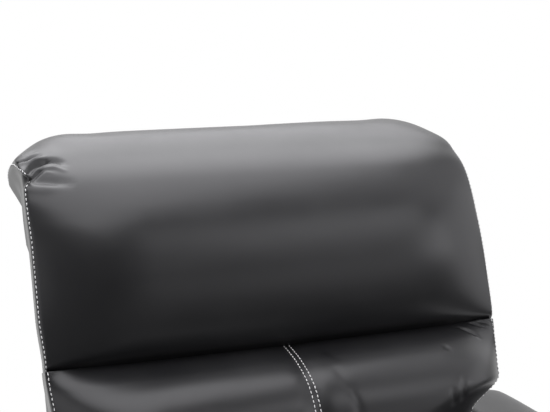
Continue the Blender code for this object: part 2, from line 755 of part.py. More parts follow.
def build_back(root, leather, wood, steel, fabric):
    back = make_axis("back_axis", *BACK_PIVOT, root, BACK_RAKE)
    half_depth = BACK_FRAME_DEPTH / 2
    post_outer = min(abs(x) for x in layer(3, 1)) - SEAT_GAP
    post_inner = post_outer - BACK_POST_WIDTH
    depth = (-half_depth, half_depth)
    for side, label in ((1, "left"), (-1, "right")):
        post = box(
            sorted((side * post_inner, side * post_outer)), depth, (BACK_POST_FOOT, BACK_TOP_RAIL - SEAT_GAP)
        )
        add_object(f"{label}_back_post", post, back, wood)
        wing = box(
            sorted((side * (post_outer + SEAT_GAP), side * BACK_WING_OUTER)),
            depth,
            (BACK_WING_FOOT, BACK_TOP_RAIL - SEAT_GAP),
        )
        add_object(f"{label}_back_wing", wing, back, leather)
        bracket = bar([(0, 0), (0, BACK_BRACKET_LENGTH)], half_depth)
        add_link(f"{label}_back_bracket", bracket, [], 3, side, back, steel, pins=((2, (0, 0)),))
    rail_half = post_inner - SEAT_GAP
    for name, foot, half in (
        ("bottom_back_rail", BACK_BOTTOM_RAIL, rail_half),
        ("middle_back_rail", BACK_MID_RAIL, rail_half),
        ("top_back_rail", BACK_TOP_RAIL, BACK_WING_OUTER),
    ):
        rail = box((-half, half), depth, (foot, foot + BACK_RAIL_HEIGHT))
        add_object(name, rail, back, wood)
    for number, height in enumerate(WEBBING_HEIGHTS, 1):
        face = half_depth + SEAT_GAP
        strap = box(
            (-post_outer, post_outer),
            (-face - WEBBING_THICKNESS, -face),
            (height, height + WEBBING_WIDTH),
        )
        add_object(f"back_webbing_{number}", strap, back, fabric)
    build_rear_panel(back, leather)
    build_lumbar_cushion(back, leather)
    build_head_pillow(back, leather)


def build_rear_panel(back, leather):
    """The padded board that closes the back behind its frame, wider above the arms."""
    half, head = REAR_PANEL_HALF_WIDTH, REAR_PANEL_HEAD_HALF_WIDTH
    right_side = [
        (half, REAR_PANEL_FOOT),
        (half, SHOULDER_START),
        (head, SHOULDER_END),
        (head, REAR_PANEL_TOP),
    ]
    corners = right_side + [(-x, z) for x, z in reversed(right_side)]
    outline = rounded(corners, [REAR_PANEL_CORNER] * len(corners))
    front = BACK_FRAME_DEPTH / 2 + SEAT_GAP
    bm = extrude([outline], front, front + REAR_PANEL_THICKNESS, front_point)
    panel = add_object("rear_back_panel", bm, back, leather)
    add_bevel(panel, REAR_PANEL_THICKNESS / 3, 2)


def smoothstep(value, start, end):
    t = min(max((value - start) / (end - start), 0.0), 1.0)
    return t * t * (3 - 2 * t)


def side_depth(along, least):
    """The share of a back cushion's depth that is left towards its sewn side edges."""
    return least + (1 - least) * superellipse(along, BACK_SIDE_POWER)


def build_lumbar_cushion(back, leather):
    """A crowned cushion with a sewn centre channel, spreading into shoulders above the arms."""
    bulge = smooth_line(
        [
            (LUMBAR_FOOT, LUMBAR_FOOT_DEPTH),
            (LUMBAR_CREST / 2, (LUMBAR_FOOT_DEPTH + LUMBAR_DEPTH) / 2),
            (LUMBAR_CREST, LUMBAR_DEPTH),
            (LUMBAR_TOP - LUMBAR_BROW_DROP, LUMBAR_BROW_DEPTH),
            (LUMBAR_TOP, LUMBAR_TOP_DEPTH),
        ],
        RING_STEPS // 4,
    )
    count = RING_STEPS * 2
    rings = []
    for height, depth in bulge:
        spread = smoothstep(height, SHOULDER_START, SHOULDER_END)
        widened = smoothstep(height, 0.0, LUMBAR_FOOT_HEIGHT)
        width = LUMBAR_FOOT_HALF_WIDTH + widened * (LUMBAR_HALF_WIDTH - LUMBAR_FOOT_HALF_WIDTH)
        width += spread * (LUMBAR_SHOULDER_HALF_WIDTH - LUMBAR_HALF_WIDTH)
        front = [(width, 0.0)]
        for turn in range(count + 1):
            across = math.cos(math.pi * turn / count)
            x = across * width
            sewn = LUMBAR_CHANNEL_DEPTH * math.exp(-((x / LUMBAR_CHANNEL_WIDTH) ** 2))
            front.append((x, side_depth(across, LUMBAR_SIDE_DEPTH) * depth - sewn))
        front.append((-width, 0.0))
        rings.append([(x, -CUSHION_PLANE - reach, height) for x, reach in front])
    add_object("lumbar_cushion", loft(rings), back, leather, 70)


def build_head_pillow(back, leather):
    """A thick roll over the back frame's top rail, with rounded top corners and a hanging belly."""
    lumbar_front = CUSHION_PLANE + LUMBAR_TOP_DEPTH
    rail_top = BACK_TOP_RAIL + BACK_RAIL_HEIGHT + SEAT_GAP
    over = smooth_line(
        [
            (CUSHION_PLANE, PILLOW_FOOT),
            (PILLOW_FRONT - PILLOW_UNDERCUT, PILLOW_FOOT + PILLOW_UNDERCUT / 2),
            (PILLOW_FRONT, PILLOW_FOOT + PILLOW_BELLY),
            (PILLOW_FRONT - PILLOW_UNDERCUT / 2, PILLOW_FOOT + PILLOW_BROW),
            (PILLOW_FRONT / 2, PILLOW_TOP - PILLOW_UNDERCUT / 3),
            (0.0, PILLOW_TOP),
            (-PILLOW_REAR * 3 / 4, PILLOW_TOP - PILLOW_UNDERCUT),
            (-PILLOW_REAR, rail_top + PILLOW_UNDERCUT),
            (-PILLOW_REAR * 3 / 4, rail_top),
        ],
        CURVE_STEPS,
    )
    rings = []
    for i in range(RING_STEPS + 1):
        along = -math.cos(math.pi * i / RING_STEPS)
        bend = max(0.0, (abs(along) - 1) * PILLOW_HALF_WIDTH + PILLOW_CORNER) / PILLOW_CORNER
        drop = PILLOW_CORNER * (1 - math.sqrt(max(0.0, 1 - bend**2)))
        crown = 1 - drop / (PILLOW_TOP - rail_top)
        ring = []
        for forward, up in [*over, (CUSHION_PLANE, rail_top)]:
            reach = CUSHION_PLANE + (forward - CUSHION_PLANE) * side_depth(along, PILLOW_SIDE_DEPTH)
            above = rail_top + (up - rail_top) * crown
            hang = smoothstep(forward, lumbar_front, PILLOW_FRONT - PILLOW_UNDERCUT) * (1 - along**2)
            below = up - PILLOW_SAG * hang * (rail_top - up) / (rail_top - PILLOW_FOOT)
            ring.append((along * PILLOW_HALF_WIDTH, -reach, above if up > rail_top else below))
        rings.append(ring)
    add_object("head_pillow", loft(rings), back, leather, 70)


def build_footrest(root, leather, wood, steel):
    long_axis = make_axis("long_link_axis", *LONG_PIVOT, root)
    second_axis = make_axis("second_link_axis", *SECOND_PIVOT, root)
    ottoman_axis = make_axis("ottoman_link_axis", *KNEE, root)
    control_axis = make_axis("control_link_axis", *CRANK_PIN, root)
    footrest_axis = make_axis("footrest_axis", *FOOTREST_PIVOT, root)
    for side, label in ((1, "left"), (-1, "right")):
        build_long_link(side, label, long_axis, steel)
        ends = relative([SECOND_PIVOT, SECOND_KNEE], SECOND_PIVOT)
        add_link(
            f"{label}_second_link",
            bar(ends, LINK_HALF_WIDTH),
            [],
            3,
            side,
            second_axis,
            steel,
            pins=((2, ends[0]), (4, ends[1])),
        )
        knees = relative([SECOND_KNEE, KNEE, FOOTREST_PIVOT], KNEE)
        add_link(
            f"{label}_ottoman_link",
            bar(knees, LINK_HALF_WIDTH),
            [pin_hole(p) for p in knees],
            4,
            side,
            ottoman_axis,
            steel,
        )
        ends = relative([CRANK_PIN, BRACKET_PIN], CRANK_PIN)
        add_link(
            f"{label}_control_link",
            bar(ends, CONTROL_HALF_WIDTH),
            [pin_hole(ends[0]), pin_hole(ends[1], OPEN_PIVOT_CLEARANCE)],
            5,
            side,
            control_axis,
            steel,
        )
        build_footrest_bracket(side, label, footrest_axis, steel)
    build_torque_tube(long_axis, steel)
    build_lever(long_axis, wood)
    build_footrest_board(footrest_axis, wood)
    build_footrest_pad(footrest_axis, leather)


def build_long_link(side, label, axis, steel):
    """The driven link: a hub on the torque tube, a knee rivet and a short crank beyond it."""
    hub, knee, crank = relative([LONG_PIVOT, KNEE, CRANK_PIN], LONG_PIVOT)
    hub_radius = LINK_HALF_WIDTH + SHEET
    outline = taper(hub, hub_radius, knee, LINK_HALF_WIDTH)
    hole = circle(hub, TORQUE_RADIUS + PIN_CLEARANCE, RING_STEPS)
    link = add_link(
        f"{label}_long_link", outline, [hole], 3, side, axis, steel, pins=((4, knee), (5, crank))
    )
    start, end = layer(3, side)
    crank_bar = extrude([bar([knee, crank], CONTROL_HALF_WIDTH)], start, end)
    arm = add_object("crank_helper", crank_bar, axis, steel)
    add_boolean(link, arm, "UNION")


def build_footrest_bracket(side, label, axis, steel):
    """A bent bracket: a web with the pivot and the control pin, and a flange on the board."""
    board_face = FOOTREST_BOARD_BACK - SEAT_GAP
    flange_bottom = FOOTREST_PIVOT[1] - BRACKET_FLANGE_LENGTH / 2
    corners = [
        (FOOTREST_PIVOT[0] - LINK_HALF_WIDTH, FOOTREST_PIVOT[1] - LINK_HALF_WIDTH),
        (board_face, flange_bottom),
        (board_face, flange_bottom + BRACKET_FLANGE_LENGTH + LINK_HALF_WIDTH),
        (BRACKET_PIN[0] - LINK_HALF_WIDTH, BRACKET_PIN[1] + LINK_HALF_WIDTH),
    ]
    outline = relative(corners, FOOTREST_PIVOT)
    pins = relative([FOOTREST_PIVOT, BRACKET_PIN], FOOTREST_PIVOT)
    bracket = add_link(
        f"{label}_footrest_bracket", outline, [], 3, side, axis, steel, pins=((4, pins[0]), (5, pins[1]))
    )
    inner_face = side * min(abs(x) for x in layer(3, side))
    flange = box(
        sorted((inner_face, inner_face + side * BRACKET_FLANGE_WIDTH)),
        (FOOTREST_PIVOT[0] - board_face, FOOTREST_PIVOT[0] - board_face + SHEET),
        (-BRACKET_FLANGE_LENGTH / 2, BRACKET_FLANGE_LENGTH / 2),
    )
    add_boolean(bracket, add_object("flange_helper", flange, axis, steel), "UNION")


def build_torque_tube(axis, steel):
    """The tube that ties both long links together and carries the lever at its right end."""
    left_end = max(abs(x) for x in layer(2, 1)) + SHEET
    right_end = -(ARM_OUTER + LEVER_STANDOFF + LEVER_THICKNESS - SHEET)
    loops = [
        circle((0, 0), TORQUE_RADIUS, RING_STEPS),
        circle((0, 0), TORQUE_RADIUS - TORQUE_WALL, RING_STEPS),
    ]
    add_object("torque_tube", extrude(loops, right_end, left_end), axis, steel)


def build_lever(axis, wood):
    tip = polar(LEVER_LENGTH, LEVER_ANGLE)
    outline = taper((0, 0), LEVER_HUB_RADIUS, tip, LEVER_TIP_RADIUS)
    hole = circle((0, 0), TORQUE_RADIUS + PIN_CLEARANCE, RING_STEPS)
    inner = -(ARM_OUTER + LEVER_STANDOFF)
    bm = extrude([outline, hole], inner - LEVER_THICKNESS, inner)
    add_object("hand_lever", bm, axis, wood)


def build_footrest_board(axis, wood):
    bm = box(
        (-FOOTREST_HALF_WIDTH, FOOTREST_HALF_WIDTH),
        (
            FOOTREST_PIVOT[0] - FOOTREST_BOARD_BACK - FOOTREST_BOARD_THICKNESS,
            FOOTREST_PIVOT[0] - FOOTREST_BOARD_BACK,
        ),
        (FOOTREST_BOARD_BOTTOM - FOOTREST_PIVOT[1], FOOTREST_BOARD_TOP - FOOTREST_PIVOT[1]),
    )
    add_object("footrest_board", bm, axis, wood)


def build_footrest_pad(axis, leather):
    face = FOOTREST_BOARD_BACK + FOOTREST_BOARD_THICKNESS + SEAT_GAP
    front = face + FOOTREST_PAD_DEPTH
    bottom, top = FOOTREST_BOARD_BOTTOM, FOOTREST_BOARD_TOP
    over = smooth_line(
        [
            (face, bottom),
            (face + FOOTREST_PAD_DEPTH / 2, bottom + FOOTREST_PAD_LIP),
            (front - FOOTREST_PAD_LIP, bottom + FOOTREST_PAD_ROLL),
            (front, (bottom + top) / 2),
            (front - FOOTREST_PAD_LIP, top - FOOTREST_PAD_ROLL),
            (face + FOOTREST_PAD_DEPTH / 2, top - FOOTREST_PAD_LIP),
            (face, top),
        ],
        CURVE_STEPS,
    )
    anchor = (face, (bottom + top) / 2)
    bm = side_loft(
        over, anchor, FOOTREST_HALF_WIDTH, CUSHION_SIDE_POWER, FOOTREST_PAD_END, FOOTREST_PIVOT
    )
    add_object("footrest_pad", bm, axis, leather, 70)


def centre_on_floor(root):
    """Moves the chair so that its box stands on the origin."""
    bpy.context.view_layer.update()
    points = [
        obj.matrix_world @ vert.co
        for obj in bpy.data.objects
        if obj.type == "MESH" and not obj.hide_render
        for vert in obj.data.vertices
    ]
    for axis in (0, 1):
        values = [point[axis] for point in points]
        root.location[axis] -= (min(values) + max(values)) / 2


def build():
    clear_scene()
    leather = make_material("black_leather", (0.022, 0.022, 0.024), 0.42)
    wood = make_material("frame_wood", (0.45, 0.31, 0.18), 0.7)
    steel = make_material("dark_steel", (0.10, 0.10, 0.11), 0.45, 0.9)
    plastic = make_material("black_plastic", (0.02, 0.02, 0.02), 0.5)
    fabric = make_material("elastic_webbing", (0.08, 0.07, 0.06), 0.9)
    root = bpy.data.objects.new("recliner", None)
    bpy.context.scene.collection.objects.link(root)
    build_base(root, leather, wood, steel, plastic)
    build_swing_links("front_swing", FRONT_SWING_PIVOT, root, steel)
    build_swing_links("rear_swing", REAR_SWING_PIVOT, root, steel)
    build_seat(root, leather, wood, steel)
    build_back(root, leather, wood, steel, fabric)
    build_footrest(root, leather, wood, steel)
    centre_on_floor(root)


build()
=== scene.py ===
"""Looks of the recliner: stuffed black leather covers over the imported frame, in a pale studio."""
import json
import math

import bmesh
import bpy
import numpy as np
from mathutils import Matrix, Vector
from mathutils.bvhtree import BVHTree


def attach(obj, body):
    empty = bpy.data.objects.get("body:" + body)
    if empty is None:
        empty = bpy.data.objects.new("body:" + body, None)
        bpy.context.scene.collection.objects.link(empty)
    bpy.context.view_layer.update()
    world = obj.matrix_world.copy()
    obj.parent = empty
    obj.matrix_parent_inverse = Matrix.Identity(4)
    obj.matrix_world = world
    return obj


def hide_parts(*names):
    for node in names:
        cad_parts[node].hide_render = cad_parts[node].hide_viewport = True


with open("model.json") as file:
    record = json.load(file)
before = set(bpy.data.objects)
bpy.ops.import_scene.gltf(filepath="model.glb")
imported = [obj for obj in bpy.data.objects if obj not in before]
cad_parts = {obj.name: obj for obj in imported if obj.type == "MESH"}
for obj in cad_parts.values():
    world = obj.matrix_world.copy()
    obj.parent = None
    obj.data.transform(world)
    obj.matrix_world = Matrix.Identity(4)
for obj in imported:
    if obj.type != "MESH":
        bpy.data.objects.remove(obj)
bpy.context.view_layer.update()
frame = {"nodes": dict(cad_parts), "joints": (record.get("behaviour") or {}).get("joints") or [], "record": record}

HINGE = Vector(next(j["pos_m"] for j in frame["joints"] if j["name"] == "back_recline"))
HINGE_FORWARD = -0.19  # of the back's hinge, in the side view that the chair is drawn in
RAKE = math.radians(20)
CUSHION_PLANE = 0.0185  # the front of the back's frame, where its cushions rest
STITCH = 0.0044
STITCH_PITCH = 0.0062
THREAD = 0.00075
PRESSURE = 4.0  # of the filling, in the simulation
EVENING_ROUNDS = 12  # that spread the filling's move over neighbouring points
FIRM_SEAM, SOFT_SEAM = 1.0, 0.6  # how sharp seams stay
SEAM_GROOVE = (0.0028, (0.0014, 0.0014, 0.0014))  # half width and depths of the groove along a seam
FINISH_SOCKETS = (
    ("Color", "NodeSocketColor"),
    ("Roughness", "NodeSocketFloat"),
    ("Height", "NodeSocketFloat"),
)

scene = bpy.context.scene


# Places


def on_back(x, front, height):
    """A point of the back, from its places across, in front of the frame and above the hinge."""
    reach = front * math.cos(RAKE) - height * math.sin(RAKE)
    rise = front * math.sin(RAKE) + height * math.cos(RAKE)
    return Vector((HINGE.x + x, HINGE.y - reach, HINGE.z + rise))


def on_chair(x, forward, up):
    """A point of the chair, from its places across, forward and above the floor."""
    return Vector((HINGE.x + x, HINGE.y + HINGE_FORWARD - forward, up))


def lerp(a, b, t):
    return a + (b - a) * t


def smoothstep(value, start, end):
    """From 0 at start to 1 at end, which may be the lower of the two."""
    t = min(max((value - start) / (end - start), 0.0), 1.0)
    return t * t * (3 - 2 * t)


def bump(value, middle, width):
    return math.exp(-(((value - middle) / width) ** 2))


def superellipse(along, power):
    """From 1 in the middle to 0 at both ends, with rounded shoulders."""
    return max(0.0, 1 - abs(along) ** power) ** (1 / power)


def curve(knots, t):
    """A point of the smooth line through the knots, t from 0 to 1."""
    spots = [Vector(k) for k in knots]
    spots = [2 * spots[0] - spots[1], *spots, 2 * spots[-1] - spots[-2]]
    place = min(max(t, 0.0), 1.0) * (len(knots) - 1)
    i = min(int(place), len(knots) - 2)
    t = place - i
    a, b, c, d = spots[i : i + 4]
    return (2 * b + (c - a) * t + (2 * a - 5 * b + 4 * c - d) * t**2 + (3 * b - a - 3 * c + d) * t**3) / 2


def bent(knots, t):
    """A point of the straight-sided line through the knots, t from 0 to 1."""
    place = min(max(t, 0.0), 1.0) * (len(knots) - 1)
    i = min(int(place), len(knots) - 2)
    return Vector(knots[i]).lerp(Vector(knots[i + 1]), place - i)


def section(over, split, rear, foot, rear_line=bent):
    """A closed side outline on the four sides of a square.

    Front and top share one smooth line, split at a knot.
    """
    share = split / (len(over) - 1)

    def outline(v, w):
        if v <= -1 + 1e-6:
            return curve(over, share * (w + 1) / 2)
        if w >= 1 - 1e-6:
            return curve(over, lerp(share, 1, (v + 1) / 2))
        if v >= 1 - 1e-6:
            return rear_line(rear, (1 - w) / 2)
        return bent(foot, (1 - v) / 2)

    middle = (outline(-1, 0) + outline(1, 0) + outline(0, 1) + outline(0, -1)) / 4

    def inside(v, w):
        most = max(abs(v), abs(w))
        if most < 1e-6:
            return middle
        return middle.lerp(outline(v / most, w / most), most)

    return inside


# Soft pieces


def link(name, mesh, material):
    obj = bpy.data.objects.new(name, mesh)
    scene.collection.objects.link(obj)
    mesh.materials.append(material)
    mesh.shade_smooth()
    return obj


def morphed_box(name, cells, place, material):
    """A closed box of quads whose points, from -1 to 1 each way, are put in place one by one."""
    bm = bmesh.new()
    bmesh.ops.create_cube(bm, size=2.0)
    for axis in range(3):
        along = [e for e in bm.edges if abs(e.verts[0].co[axis] - e.verts[1].co[axis]) > 1e-5]
        bmesh.ops.subdivide_edges(bm, edges=along, cuts=cells[axis] - 1, use_grid_fill=True)
    spots = [tuple(round(c, 6) for c in vert.co) for vert in bm.verts]
    for vert, spot in zip(bm.verts, spots):
        vert.co = place(*spot)
    bmesh.ops.recalc_face_normals(bm, faces=bm.faces[:])
    mesh = bpy.data.meshes.new(name)
    bm.to_mesh(mesh)
    bm.free()
    return link(name, mesh, material), spots


def read_points(mesh):
    points = np.empty(len(mesh.vertices) * 3)
    mesh.vertices.foreach_get("co", points)
    return points.reshape(-1, 3)


def write_points(mesh, points):
    mesh.vertices.foreach_set("co", np.ascontiguousarray(points).reshape(-1))
    mesh.update()


def relax(mesh, field, rounds, held):
    """Evens out a value per point with its neighbours, except where held."""
    ends = np.empty(len(mesh.edges) * 2, dtype=np.int64)
    mesh.edges.foreach_get("vertices", ends)
    first, second = ends[0::2], ends[1::2]
    count = np.bincount(ends, minlength=len(field)).reshape(-1, 1)
    for _ in range(rounds):
        total = np.zeros_like(field)
        np.add.at(total, first, field[second])
        np.add.at(total, second, field[first])
        field = np.where(held, field, field * 0.5 + total / count * 0.5)
    return field


def stuff(obj, sewn, most, share, frames=20):
    """Blows a cover up between its seams, as its filling does.

    Sewn points stay, and the others keep a share of the move.
    """
    group = obj.vertex_groups.new(name="sewn")
    for i in np.flatnonzero(sewn):
        group.add([int(i)], 1.0, "REPLACE")
    cloth = obj.modifiers.new("stuffing", "CLOTH")
    cloth.settings.quality = 4
    cloth.settings.mass = 0.3
    cloth.settings.tension_stiffness = 25
    cloth.settings.compression_stiffness = 25
    cloth.settings.shear_stiffness = 12
    cloth.settings.bending_stiffness = 1.5
    cloth.settings.use_pressure = True
    cloth.settings.uniform_pressure_force = PRESSURE
    cloth.settings.vertex_group_mass = "sewn"
    cloth.settings.effector_weights.gravity = 0
    cloth.collision_settings.use_collision = False
    cloth.point_cache.frame_start = 1
    cloth.point_cache.frame_end = frames
    for number in range(1, frames + 1):
        scene.frame_set(number)
    result = obj.evaluated_get(bpy.context.evaluated_depsgraph_get())
    step = read_points(result.data) - read_points(obj.data)
    obj.modifiers.remove(cloth)
    obj.vertex_groups.remove(group)
    length = np.linalg.norm(step, axis=1, keepdims=True)
    step *= share * most * np.tanh(length / most) / np.maximum(length, 1e-9)
    step = relax(obj.data, step, EVENING_ROUNDS, np.asarray(sewn).reshape(-1, 1))
    write_points(obj.data, read_points(obj.data) + step)
    scene.frame_set(1)


def refine(obj, seams, sharpness):
    """Rounds a cover off by one round of subdivision, kept in its mesh. Its seams stay sharper."""
    attribute = obj.data.attributes.new("crease_edge", "FLOAT", "EDGE")
    for i in seams:
        attribute.data[i].value = sharpness
    rounding = obj.modifiers.new("rounding", "SUBSURF")
    rounding.levels = 1
    rounding.render_levels = 1
    keep_result(obj)


def keep_result(obj):
    """Makes what the modifiers give the mesh of the object."""
    coarse = obj.data
    bpy.context.view_layer.update()
    obj.data = bpy.data.meshes.new_from_object(obj.evaluated_get(bpy.context.evaluated_depsgraph_get()))
    obj.modifiers.clear()
    bpy.data.meshes.remove(coarse)


def press_folds(obj, folds):
    """Presses folds into a cover.

    A fold is its line, its half width and its depths at the start, middle and end. A depth below 0 is a ridge.
    """
    tree = surface(obj)
    mesh = obj.data
    points = read_points(mesh)
    normals = np.empty(points.size)
    mesh.vertices.foreach_get("normal", normals)
    normals = normals.reshape(-1, 3)
    move = np.zeros(len(points))
    for knots, width, depths in folds:
        steps = 12 * (len(knots) - 1)
        line = np.array([tree.find_nearest(curve(knots, i / steps))[0] for i in range(steps + 1)])
        reach = 3.2 * width
        near = np.all((points > line.min(axis=0) - reach) & (points < line.max(axis=0) + reach), axis=1)
        spots = points[near]
        gap = np.linalg.norm(spots[:, None, :] - line[None, :, :], axis=2)
        closest = gap.argmin(axis=1)
        depth = np.interp(closest / steps, (0.0, 0.5, 1.0), depths)
        move[near] -= depth * np.exp(-((gap.min(axis=1) / width) ** 2))
    write_points(mesh, points + normals * move.reshape(-1, 1))


def folds_on_back(folds):
    """Folds whose lines are given in places of the back."""
    return [([on_back(*p) for p in line], width, depths) for line, width, depths in folds]


def finish_soft(obj, body, nodes):
    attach(obj, body)
    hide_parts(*nodes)


def seam_edges(obj, spots):
    """The edges of the mesh along the edges of its box, where the panels meet."""
    rims = []
    for edge in obj.data.edges:
        a, b = (spots[i] for i in edge.vertices)
        shared = sum(abs(abs(p) - 1) < 1e-5 and abs(p - q) < 1e-5 for p, q in zip(a, b))
        if shared >= 2:
            rims.append(edge.index)
    return rims


def surface(obj):
    """A search tree over the finished surface of a piece."""
    bpy.context.view_layer.update()
    return BVHTree.FromObject(obj, bpy.context.evaluated_depsgraph_get())


def add_stitches(name, rows, body, material):
    """Rows of thread laid on covers. A row is (tree, points), and its points are brought onto the tree's surface."""
    bm = bmesh.new()
    for tree, points in rows:
        line = [tree.find_nearest(p)[:2] for p in points]
        lengths = [0.0]
        for (a, _), (b, _) in zip(line, line[1:]):
            lengths.append(lengths[-1] + (b - a).length)
        count = int(lengths[-1] / STITCH_PITCH)
        for number in range(count):
            middle = (number + 0.5) * lengths[-1] / count
            ends = []
            for reach in (middle - STITCH / 2, middle + STITCH / 2):
                i = max(k for k in range(len(line) - 1) if lengths[k] <= max(reach, 0.0))
                t = (reach - lengths[i]) / max(lengths[i + 1] - lengths[i], 1e-9)
                ends.append(tree.find_nearest(line[i][0].lerp(line[i + 1][0], t))[:2])
            (start, start_normal), (end, end_normal) = ends
            along = (end - start).normalized()
            normal = (start_normal + end_normal).normalized()
            side = normal.cross(along).normalized()
            along += side * (0.10 if number % 2 else -0.10)
            along.normalize()
            side = normal.cross(along).normalized()
            turn = Matrix((along, side, along.cross(side))).transposed().to_4x4()
            middle_point = (start + end) / 2 + normal * THREAD * 0.5
            bmesh.ops.create_uvsphere(
                bm,
                u_segments=6,
                v_segments=4,
                radius=1.0,
                matrix=Matrix.Translation(middle_point)
                @ turn
                @ Matrix.Rotation(math.pi / 2, 4, "Y").inverted()
                @ Matrix.Diagonal((THREAD, THREAD, STITCH / 2, 1)),
            )
    mesh = bpy.data.meshes.new(name)
    bm.to_mesh(mesh)
    bm.free()
    obj = link(name, mesh, material)
    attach(obj, body)
    return obj


def column(obj, spots, axis_values, order):
    """The points of a cover whose box places match the given values, sorted along one axis."""
    chosen = []
    for spot, vert in zip(spots, obj.data.vertices):
        if all(abs(spot[a] - value) < 1e-4 for a, value in axis_values.items()):
            chosen.append((spot[order], vert.co.copy()))
    return [p for _, p in sorted(chosen, key=lambda item: item[0])]


# Materials


def new_group(name):
    tree = bpy.data.node_groups.new(name, "ShaderNodeTree")
    for label, kind in FINISH_SOCKETS:
        tree.interface.new_socket(label, in_out="OUTPUT", socket_type=kind)
    return tree, tree.nodes.new("NodeGroupOutput")


def add_node(tree, kind, inputs=(), **settings):
    node = tree.nodes.new(kind)
    for key, value in settings.items():
        setattr(node, key, value)
    for key, value in dict(inputs).items():
        if isinstance(value, bpy.types.NodeSocket):
            tree.links.new(value, node.inputs[key])
        else:
            node.inputs[key].default_value = value
    return node


def ramp(tree, factor, low, high, first, last):
    node = add_node(tree, "ShaderNodeMapRange", {"Value": factor, "From Min": low, "From Max": high})
    node.inputs["To Min"].default_value = first
    node.inputs["To Max"].default_value = last
    return node.outputs["Result"]


def mix_colour(tree, factor, first, second):
    node = add_node(tree, "ShaderNodeMix", {"Factor": factor}, data_type="RGBA")
    node.inputs[6].default_value = (*first, 1)
    node.inputs[7].default_value = (*second, 1)
    return node.outputs[2]


def leather_group():
    tree, out = new_group("leather_cover")
    place = add_node(tree, "ShaderNodeTexCoord").outputs["Object"]
    pebble = add_node(tree, "ShaderNodeTexVoronoi", {"Vector": place, "Scale": 950.0}, feature="SMOOTH_F1")
    pores = add_node(tree, "ShaderNodeTexNoise", {"Vector": place, "Scale": 2600.0, "Detail": 2.0})
    cloudy = add_node(tree, "ShaderNodeTexNoise", {"Vector": place, "Scale": 9.0, "Detail": 4.0})
    rubbed = add_node(tree, "ShaderNodeTexNoise", {"Vector": place, "Scale": 60.0, "Detail": 3.0})
    grain = add_node(tree, "ShaderNodeMath", {0: pebble.outputs["Distance"], 1: 0.7}, operation="MULTIPLY")
    height = add_node(
        tree, "ShaderNodeMath", {0: pores.outputs["Fac"], 1: 0.3, 2: grain.outputs[0]}, operation="MULTIPLY_ADD"
    )
    wear = add_node(
        tree,
        "ShaderNodeMath",
        {0: rubbed.outputs["Fac"], 1: 0.4, 2: cloudy.outputs["Fac"]},
        operation="MULTIPLY_ADD",
    )
    shade = ramp(tree, cloudy.outputs["Fac"], 0.3, 0.7, 0, 1)
    colour = mix_colour(tree, shade, (0.010, 0.010, 0.011), (0.016, 0.016, 0.017))
    tree.links.new(colour, out.inputs["Color"])
    tree.links.new(ramp(tree, wear.outputs[0], 0.45, 0.95, 0.32, 0.38), out.inputs["Roughness"])
    tree.links.new(height.outputs[0], out.inputs["Height"])
    return tree


def grain_group(name, light, dark, stretch, rings):
    """Straight wood grain along one axis of the object."""
    tree, out = new_group(name)
    place = add_node(tree, "ShaderNodeTexCoord").outputs["Object"]
    drawn = add_node(tree, "ShaderNodeMapping", {"Vector": place, "Scale": stretch})
    year = add_node(
        tree,
        "ShaderNodeTexNoise",
        {"Vector": drawn.outputs[0], "Scale": rings, "Detail": 5.0, "Roughness": 0.6, "Distortion": 0.6},
    )
    fibre = add_node(tree, "ShaderNodeTexNoise", {"Vector": drawn.outputs[0], "Scale": rings * 9, "Detail": 3.0})
    both = add_node(
        tree, "ShaderNodeMath", {0: fibre.outputs["Fac"], 1: 0.35, 2: year.outputs["Fac"]}, operation="MULTIPLY_ADD"
    )
    tree.links.new(mix_colour(tree, ramp(tree, both.outputs[0], 0.45, 0.9, 0, 1), light, dark), out.inputs["Color"])
    tree.links.new(ramp(tree, fibre.outputs["Fac"], 0.3, 0.7, 0.42, 0.58), out.inputs["Roughness"])
    tree.links.new(both.outputs[0], out.inputs["Height"])
    return tree


def mottled_group(name, light, dark, scale, rough_low, rough_high):
    """A plain surface with faint spots and uneven shine."""
    tree, out = new_group(name)
    place = add_node(tree, "ShaderNodeTexCoord").outputs["Object"]
    coarse = add_node(tree, "ShaderNodeTexNoise", {"Vector": place, "Scale": scale, "Detail": 4.0})
    fine = add_node(tree, "ShaderNodeTexNoise", {"Vector": place, "Scale": scale * 14, "Detail": 2.0})
    tree.links.new(
        mix_colour(tree, ramp(tree, coarse.outputs["Fac"], 0.3, 0.7, 0, 1), light, dark), out.inputs["Color"]
    )
    tree.links.new(ramp(tree, coarse.outputs["Fac"], 0.3, 0.7, rough_low, rough_high), out.inputs["Roughness"])
    tree.links.new(fine.outputs["Fac"], out.inputs["Height"])
    return tree


def weave_group():
    tree, out = new_group("strap_weave")
    place = add_node(tree, "ShaderNodeTexCoord").outputs["Object"]
    warp = add_node(tree, "ShaderNodeTexWave", {"Vector": place, "Scale": 160.0}, bands_direction="Z")
    weft = add_node(tree, "ShaderNodeTexWave", {"Vector": place, "Scale": 110.0}, bands_direction="X")
    cross = add_node(tree, "ShaderNodeMath", {0: warp.outputs["Fac"], 1: weft.outputs["Fac"]}, operation="MAXIMUM")
    tree.links.new(mix_colour(tree, cross.outputs[0], (0.05, 0.05, 0.05), (0.30, 0.28, 0.25)), out.inputs["Color"])
    tree.links.new(ramp(tree, cross.outputs[0], 0, 1, 0.75, 0.9), out.inputs["Roughness"])
    tree.links.new(cross.outputs[0], out.inputs["Height"])
    return tree


